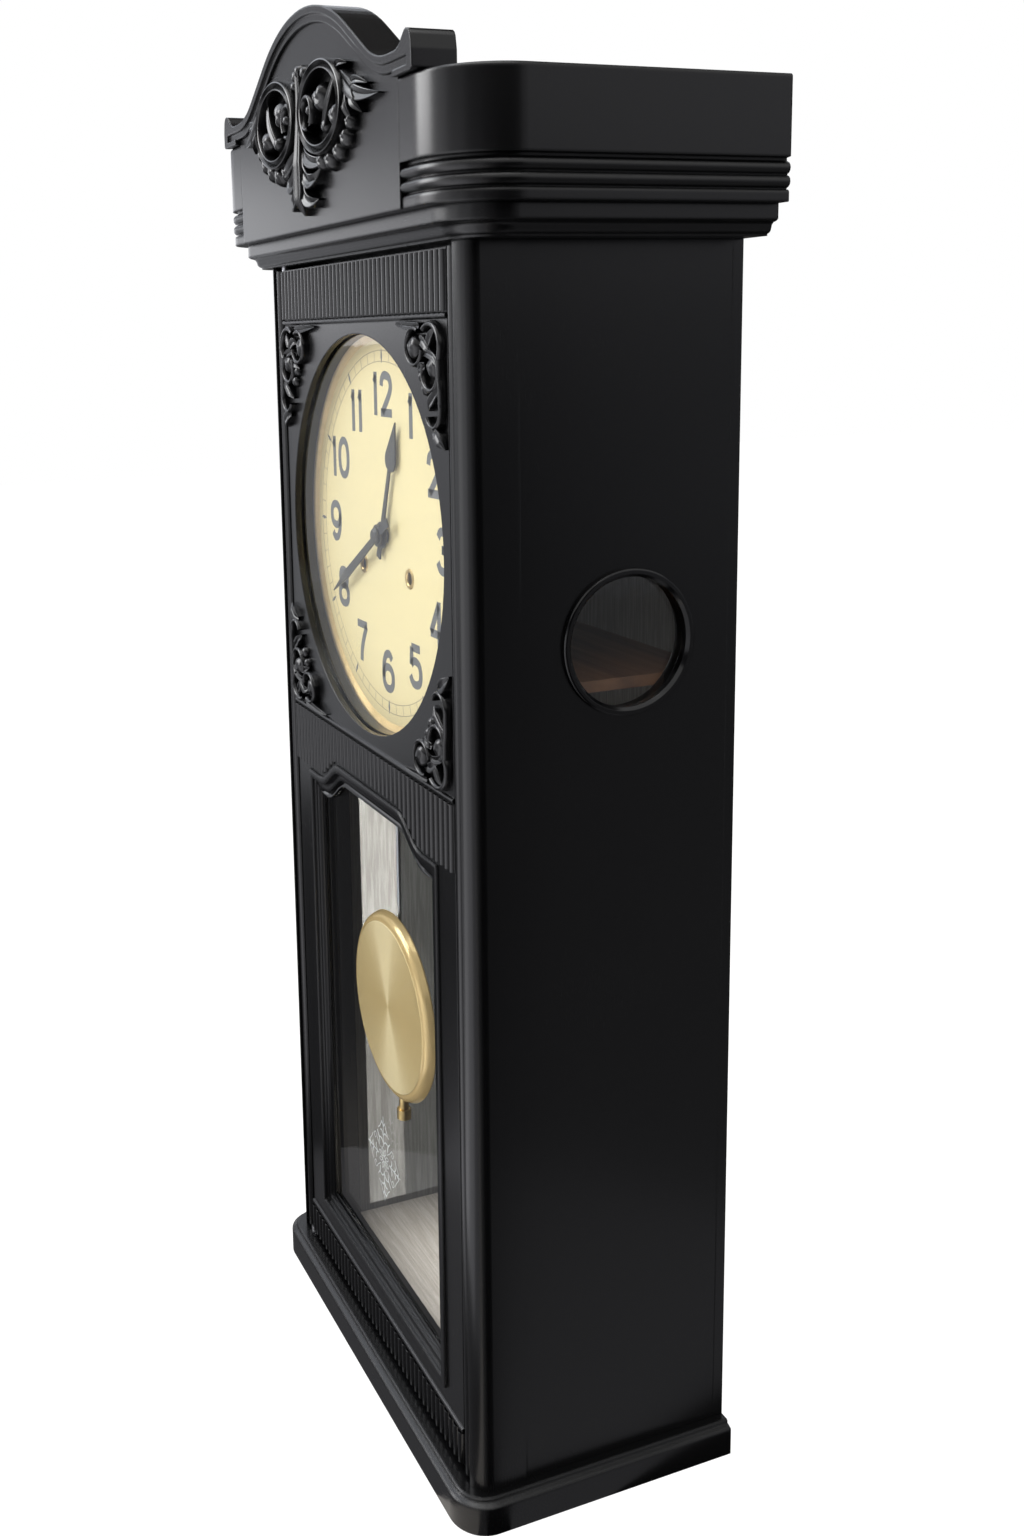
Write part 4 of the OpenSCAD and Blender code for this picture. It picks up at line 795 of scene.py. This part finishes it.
# %% The etching's lines, a quarter of the ornament
LINE, LINE_WIDE = 0.24, 0.5  # half widths
ETCH_FILM = 0.04
ETCH_Z = 0.137  # height of the ornament's middle, in metres
PETAL_FOOT, PETAL_MIDDLE, PETAL_TIP, PETAL_BELLY = 2.4, 5, 7.4, 1.2


def petal(turn):
    """A pointed loop that leaves the centre at this angle."""
    c, d = math.cos(math.radians(turn)), math.sin(math.radians(turn))
    path = [(PETAL_FOOT, 0), (PETAL_MIDDLE, PETAL_BELLY), (PETAL_TIP, 0),
            (PETAL_MIDDLE, -PETAL_BELLY), (PETAL_FOOT, 0)]
    return smooth_line([(out * c - side * d, out * d + side * c, LINE) for out, side in path])


etched = [petal(22.5), petal(67.5), curl(0, 0, 1.9, 1.9, 0, 90, LINE, LINE)]
for z, reach in ((9.5, 6.6), (15, 5.2), (20.5, 3.2)):
    etched.append(smooth_line([(0, z, LINE), (reach * 0.45, z + 2.6, LINE_WIDE),
                               (reach, z + 2.2, LINE)]))
for x, reach in ((10, 5), (15.5, 3.8), (20, 2.4)):
    etched.append(smooth_line([(x, 0, LINE), (x + 2.2, reach * 0.5, 0.45),
                               (x + 1.8, reach, LINE)]))
etched += [
    [(0.1, 8, LINE), (0.1, 27.5, LINE)], [(8, 0.1, LINE), (25, 0.1, LINE)],
    smooth_line([(5.2, 5.2, LINE), (9.4, 8.2, LINE), (12.6, 11.4, LINE), (15.2, 9.6, LINE),
                 (13.6, 7.4, LINE), (12, 8.8, LINE)]),
    smooth_line([(6, 7, LINE), (6.8, 11, LINE_WIDE), (10, 14.5, LINE)]),
    smooth_line([(2, 24.5, LINE), (5.2, 19.5, LINE), (8.2, 17, LINE)]),
    smooth_line([(22.5, 2, LINE), (19, 5.6, LINE), (17.4, 8.4, LINE)])]


# %% Etch the window
def etch_paint():
    """White frost that lets the dark show through in specks."""
    f = Finish("etched_glass", Roughness=0.6)
    frost = f.noise(f.point, 2600.0, 2, 0.6)
    f.set("Base Color", frost.blend(rgb(0.45, 0.50, 0.52), rgb(0.66, 0.70, 0.72)))
    f.set("Alpha", 0.30 + frost * 0.45)
    f.relief(frost, 0.00003)
    return f.material


etching = Shape()
for line in etched:
    etching.sweep(line, print_flat(ETCH_FILM))
etching.piece("window_etching", (0, pane_front, ETCH_Z), "door", etch_paint(),
              mirrors=FOUR_CORNERS, smooth=False)

# %% [markdown]
# ## The bright arris of the window moulding
#
# The moulding's inner lip is rubbed smooth just in front of the glass. It collects light and reads
# as a bright line round the window, so a slim bead is swept round the same outline.

# %% Rub the arris
SIGHT = 13.0  # from the door's opening to the moulding's inner edge, where the glass shows
BEAD_HALF = 1.3
LIP = 1.75  # the moulding's inner step stands this far in front of the glass
ARCH_STEPS = 12


def window_outline(inset):
    """The window's edge in millimetres, from the bottom right round to the bottom left."""
    half, bottom, shoulder, rise, inner, outer = 98, 54, 356, 15, 45, 78
    side = [(half - inset, bottom + inset), (half - inset, (bottom + shoulder) / 2),
            (half - inset, shoulder - inset)]
    head = [(outer - (outer - inner) * i / ARCH_STEPS - inset * 0.3,
             shoulder - inset + rise * (1 - math.cos(math.pi * i / ARCH_STEPS)) / 2)
            for i in range(ARCH_STEPS + 1)]
    right_half = side + head
    return right_half + [(-x, z) for x, z in reversed(right_half)]


def bead(w):
    """Flat outside, with a low crown nearer the glass."""
    return [(-w, 0.0), (-w * 0.3, 0.45), (w * 0.4, 0.9), (w * 0.7, 0.9), (w, 0.0)]


outline = window_outline(SIGHT - BEAD_HALF)
window_bead = Shape()
window_bead.sweep([(x, z, BEAD_HALF) for x, z in outline + outline[:1]], bead, closed=True)
rubbed = lacquer("lacquer_rubbed", "z", 0.0002, gloss=0.08)
window_bead.piece("window_arris", (0, pane_front - LIP * MM, 0), "door", rubbed)

# %% [markdown]
# ## Small fasteners
#
# The movement's front plate is held on its four pillars by slotted screws. They are turned heads
# with a slot cut across, each at its own angle, as a workshop leaves them.

# %% Turn the screws
HEAD_STEPS = 12
SLOT_EDGE = 8  # degrees from the slot's middle line to where a half head starts
SLOT_HALF = 0.12  # half the slot's width, as a share of the head's radius
SCREW_R, SCREW_TALL = 2.4, 1.2
PILLAR_HEAD_R = 2.6  # the pillars' box ends at the edges of their heads


def screw(shape, x, z, r, tall, turn):
    """A cheese head in two halves, with a slot between them."""
    c, d = math.cos(turn), math.sin(turn)
    profile = [(r, 0.0), (r, tall * 0.75), (r * 0.88, tall), (0.16 * r, tall)]
    for side in (-1, 1):
        rows = []
        for i in range(HEAD_STEPS + 1):
            a = math.radians(SLOT_EDGE + (180 - 2 * SLOT_EDGE) * i / HEAD_STEPS) * side
            row = []
            for pr, h in profile:
                u, v = pr * math.cos(a), side * max(side * pr * math.sin(a), SLOT_HALF * r)
                row.append((x + c * u - d * v, h, z + d * u + c * v))
            rows.append(row)
        shape.grid(rows if side > 0 else rows[::-1])


random.seed(7)
pillar_low, pillar_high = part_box("plate_pillars")
screws = Shape()
for side in (-1, 1):
    for end, inward in ((pillar_low.z, 1), (pillar_high.z, -1)):
        screw(screws, side * (pillar_high.x / MM - PILLAR_HEAD_R),
              end / MM + PILLAR_HEAD_R * inward, SCREW_R, SCREW_TALL, random.uniform(0, 3.1))
screws.piece("pillar_screws", (0, pillar_low.y, 0), "case",
             turned_steel("screw_steel", rgb(0.45, 0.45, 0.5), 0.25))

# %% [markdown]
# ## The arris behind each corner post
#
# The corner posts stand one millimetre proud of the side boards. That small step is the fine light
# line down each side, so its arris is rounded here as a bead that can catch the light.

# %% Round the arrises
TURN_STEPS = 8
post_low, post_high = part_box("corner_post_right")
board_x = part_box("side_board_right")[1].x
proud = (post_high.x - board_x) / MM
post_bead = Shape()
post_bead.grid([[(board_x / MM + proud * math.cos(a), -proud * math.sin(a), z / MM)
                 for z in (post_low.z, post_high.z)]
                for a in (math.radians(90 * k / TURN_STEPS) for k in range(TURN_STEPS + 1))])
post_bead.piece("post_arris", (0, post_high.y, 0), "case", fine, mirrors=BOTH_SIDES)

# %% [markdown]
# ## Floor and backdrop
#
# The clock is shown on a plain pale floor. The background is white only for the camera, for mirrors
# and through glass: no extra light falls on the clock for it. Light Path tells which kind of ray
# is asking. The floor uses it too, and glows a little for the camera but keeps the clock's shadow.

# %% Floor and world
WORLD_LIGHT = 0.55  # strength of the light that falls on the clock; what is seen has strength 1
GLOW, GLOW_SHARE = 1.2, 0.85  # the floor's glow, and how much of it the camera sees
FLOOR_HALF = 6.0
FLOOR_Z = -0.0005  # just under the plinth, so that the two faces don't share a plane


def white_room():
    """White where it is seen, and weaker where it lights the clock."""
    world = bpy.data.worlds.new("white_room")
    bpy.context.scene.world = world
    world.use_nodes = True
    tree = world.node_tree
    camera_ray = Ink(tree).make("ShaderNodeLightPath", out="Is Camera Ray")
    seen = camera_ray.sum("MAXIMUM", camera_ray, camera_ray.also("Is Glossy Ray"))
    seen = seen.sum("MAXIMUM", seen, camera_ray.also("Is Transmission Ray"))
    strength = seen * (1 - WORLD_LIGHT) + WORLD_LIGHT
    tree.links.new(strength.out, tree.nodes["Background"].inputs["Strength"])
    tree.nodes["Background"].inputs["Color"].default_value = rgb(1, 1, 1)


def pale_floor():
    """A matt pale floor that the camera sees mixed with a white glow."""
    material, ink = new_material("pale_floor")
    shader = ink.tree.nodes["Principled BSDF"]
    shader.inputs["Roughness"].default_value = 0.9
    shader.inputs["Base Color"].default_value = rgb(0.86, 0.81, 0.76)
    glow = ink.make("ShaderNodeEmission", sockets={"Color": rgb(1, 1, 1), "Strength": GLOW})
    camera_ray = ink.make("ShaderNodeLightPath", out="Is Camera Ray")
    set_surface(ink.make("ShaderNodeMixShader", sockets={
        0: camera_ray * GLOW_SHARE, 1: Ink(ink.tree, shader.outputs[0]), 2: glow}))
    return material


white_room()
mesh = bpy.data.meshes.new("floor")
mesh.from_pydata([(-FLOOR_HALF, -FLOOR_HALF, 0), (FLOOR_HALF, -FLOOR_HALF, 0),
                  (FLOOR_HALF, FLOOR_HALF, 0), (-FLOOR_HALF, FLOOR_HALF, 0)], [], [(0, 1, 2, 3)])
mesh.materials.append(pale_floor())
floor = bpy.data.objects.new("floor", mesh)
floor.location.z = FLOOR_Z
bpy.context.scene.collection.objects.link(floor)
print("floor (m):", 2 * FLOOR_HALF)

# %% [markdown]
# ## Cards and cloths for the lacquer to mirror
#
# Black lacquer shows nothing but reflections, so a photographer surrounds it with cards and cloths.
# They glow evenly here, only reflections see them, and no light from them falls on the clock. Seen
# from the camera, the front mirrors what stands at the left, the right side mirrors what stands at
# the right, and the round posts mirror everything between. Cards stand in a ring for the upper
# part, and cloths lie on the floor for the foot of the clock.

# %% Strips that only reflections see
STRIP_STEP = 6  # degrees


def glossy_strip(name, start, end, pair, grey):
    """Quads between two compass angles; pair turns a direction into the strip's two edge points."""
    material, ink = new_material(name, principled=False)
    set_surface(ink.make("ShaderNodeEmission", sockets={"Color": rgb(*grey), "Strength": 1.0}))
    steps = max(2, int(abs(end - start) / STRIP_STEP) + 1)
    points = []
    for i in range(steps + 1):
        a = math.radians(start + (end - start) * i / steps)
        points += pair(math.cos(a), math.sin(a))
    mesh = bpy.data.meshes.new(name)
    mesh.from_pydata(points, [], [(2 * i, 2 * i + 2, 2 * i + 3, 2 * i + 1) for i in range(steps)])
    mesh.materials.append(material)
    made = bpy.data.objects.new(name, mesh)
    bpy.context.scene.collection.objects.link(made)
    for ray in ("visible_camera", "visible_diffuse", "visible_transmission", "visible_shadow",
                "visible_volume_scatter"):
        setattr(made, ray, False)


# %% Grey cards in a ring
CARD_AWAY = 3.0
LOW, SILL, BROW, HIGH, BACK, UP, LOFT, SKY = -0.2, 0.60, 0.82, 1.02, 1.35, 1.75, 2.4, 8.0
DARK, DIM = (0.01, 0.01, 0.012), (0.05, 0.048, 0.045)
cards = [  # azimuths, heights, grey
    (-190, -135, LOW, SILL, (0.55, 0.56, 0.60)), (-190, -135, SILL, HIGH, (1.8, 1.82, 1.90)),
    (-190, -135, HIGH, UP, (0.45, 0.46, 0.50)), (-190, -110, UP, SKY, (1.9, 1.98, 2.15)),
    (-135, -108, LOW, BROW, (1.1, 1.12, 1.18)), (-135, -108, BROW, UP, (1.5, 1.52, 1.6)),
    (-108, -82, LOW, BROW, (2.4, 2.42, 2.5)), (-108, -82, BROW, UP, (0.90, 0.91, 0.96)),
    (-82, -56, LOW, BROW, (1.7, 1.72, 1.8)), (-82, -56, BROW, UP, (0.30, 0.30, 0.32)),
    (-56, -34, LOW, BROW, (0.75, 0.76, 0.80)), (-56, -34, BROW, UP, (0.05, 0.05, 0.055)),
    (-34, -17, LOW, BROW, (0.25, 0.25, 0.27)), (-34, -17, BROW, UP, DARK),
    (-17, 26.5, LOW, BROW, DARK), (26.5, 75, LOW, BROW, (0.31, 0.315, 0.34)),
    (-17, 18, BROW, UP, DARK), (18, 75, BROW, UP, (0.72, 0.72, 0.76)),
    (75, 92, LOW, SKY, DIM), (92, 106, LOW, UP, (1.4, 1.42, 1.5)),
    (106, 170, LOW, BACK, DIM), (106, 170, BACK, LOFT, (1.2, 1.25, 1.35)),
    (106, 170, LOFT, SKY, DIM)]
for number, (start, end, bottom, head, grey) in enumerate(cards):
    glossy_strip("card_%d" % number, start, end, lambda c, s: [
        (CARD_AWAY * c, CARD_AWAY * s, z) for z in (bottom, head)], grey)
print("cards:", len(cards))

# %% Cloths on the floor
CLOCK_FOOT = (0, 0, 0)
SIDE_FOOT = (0.13, -0.055, 0.0003)  # the right side's cloths fan out from its front corner
NEAR, FAR = 0.27, 3.05
cloths = [  # azimuths, distances, grey
    (-200, -34, 0.02, NEAR, (0.16, 0.16, 0.17)), (-200, -135, NEAR, 1.25, (0.045, 0.045, 0.048)),
    (-200, -135, 1.25, FAR, (0.50, 0.51, 0.54)), (-135, -108, NEAR, FAR, (0.6, 0.6, 0.64)),
    (-108, -82, NEAR, FAR, (2.2, 2.2, 2.3)), (-82, -56, NEAR, FAR, (1.6, 1.6, 1.7)),
    (-56, -34, NEAR, FAR, (0.70, 0.70, 0.74))]
side_cloths = [
    (-34, -17, 0.01, FAR, (0.2, 0.2, 0.21)), (-17, 25, 0.01, FAR, (0.012, 0.012, 0.014)),
    (25, 75, 0.01, 0.35, (0.34, 0.34, 0.36)), (25, 75, 0.35, FAR, (0.20, 0.20, 0.21)),
    (75, 160, 0.01, FAR, (0.03, 0.03, 0.03))]
for name, centre, rows in (("cloth_%d", CLOCK_FOOT, cloths),
                           ("side_cloth_%d", SIDE_FOOT, side_cloths)):
    for number, (start, end, near, far, grey) in enumerate(rows):
        glossy_strip(name % number, start, end, lambda c, s: [
            (centre[0] + d * c, centre[1] + d * s, centre[2]) for d in (near, far)], grey)
print("cloths:", len(cloths) + len(side_cloths))

# %% [markdown]
# ## Lamps
#
# Three soft lamps stand round the clock: the key to the left, a weak fill to the right that the
# lacquer doesn't mirror, and one overhead. Light patches on the left wall and on the case's floor
# come from hidden lamps inside the case. Those on the wall throw nearly parallel light from close
# by, so each patch has the lamp's own size and a clean edge.

# %% One lamp
def lamp(name, place, target, size, watts, tint=(1, 1, 1), spread=180, mirrored=True):
    """A lamp of this width and height that looks at target. The camera never sees it."""
    light = bpy.data.lights.new(name, "AREA")
    light.shape = "RECTANGLE"
    light.size, light.size_y = size
    light.energy = watts
    light.color = tint
    light.spread = math.radians(spread)
    made = bpy.data.objects.new(name, light)
    made.location = place
    made.rotation_euler = (Vector(target) - Vector(place)).to_track_quat("-Z", "Y").to_euler()
    made.visible_camera, made.visible_glossy = False, mirrored
    bpy.context.scene.collection.objects.link(made)


# %% Hidden lamps inside the case
BESIDE = Vector((0.02, 0, 0))  # from the left wall's inner face to the lamps that light it
COOL = (0.97, 0.99, 1.0)
BEAM_SPREAD, FLOOR_SPREAD = 3, 110
bands = [  # middle of the lit patch, its width and height, watts, tint
    ((-0.127, -0.003, 0.27), (0.027, 0.17), 0.162, COOL),
    ((-0.127, -0.003, 0.105), (0.027, 0.16), 0.065, COOL),
    ((-0.127, 0.0305, 0.19), (0.040, 0.33), 0.053, (0.90, 0.96, 1.0))]
for number, (middle, size, watts, tint) in enumerate(bands):
    lamp("beam_%d" % number, Vector(middle) + BESIDE, middle, size, watts, tint, BEAM_SPREAD,
         mirrored=False)
lamp("floor_beam", (0, 0.012, 0.085), (0, 0.012, 0), (0.20, 0.07), 0.11, spread=FLOOR_SPREAD,
     mirrored=False)

# %% Lamps round the clock
AIM = (0, 0, 0.42)
lamp("key", (-1.3, -2.0, 1.7), AIM, (1.4, 1.6), 62)
lamp("fill", (1.9, -1.0, 1.5), AIM, (1.2, 1.6), 16, mirrored=False)
lamp("top", (0.1, -0.2, 2.4), AIM, (1.6, 1.2), 22)
print("lamps:", len(bpy.data.lights))

# %% [markdown]
# ## The camera
#
# The photograph was taken from close by, far round to the right and a little above the middle, so
# the front is seen at a flat angle and the verticals lean. The lens is shifted rather than turned,
# which keeps that lean as it is in the picture.

# %% Camera
EYE = (0.76821, -0.3588, 0.6267)
AZIMUTH, ELEVATION, ROLL = math.radians(68.6), math.radians(10.11), math.radians(-1.47)
forward = Vector((-math.sin(AZIMUTH) * math.cos(ELEVATION),
                  math.cos(AZIMUTH) * math.cos(ELEVATION), -math.sin(ELEVATION)))
level = forward.cross(Vector((0, 0, 1))).normalized()
upright = level.cross(forward)
right = level * math.cos(ROLL) + upright * math.sin(ROLL)
up = upright * math.cos(ROLL) - level * math.sin(ROLL)
camera_data = bpy.data.cameras.new("camera")
camera_data.lens = 34.96
camera_data.sensor_width = 36
camera_data.shift_x, camera_data.shift_y = 0.0951, -0.1094
camera_data.clip_start = 0.01
camera = bpy.data.objects.new("camera", camera_data)
bpy.context.scene.collection.objects.link(camera)
turned = Matrix((right, up, -forward)).transposed().to_4x4()
camera.matrix_world = Matrix.Translation(EYE) @ turned
bpy.context.scene.camera = camera
bpy.context.scene.view_settings.view_transform = "Standard"
print("camera at:", EYE, " lens:", round(camera_data.lens, 2))
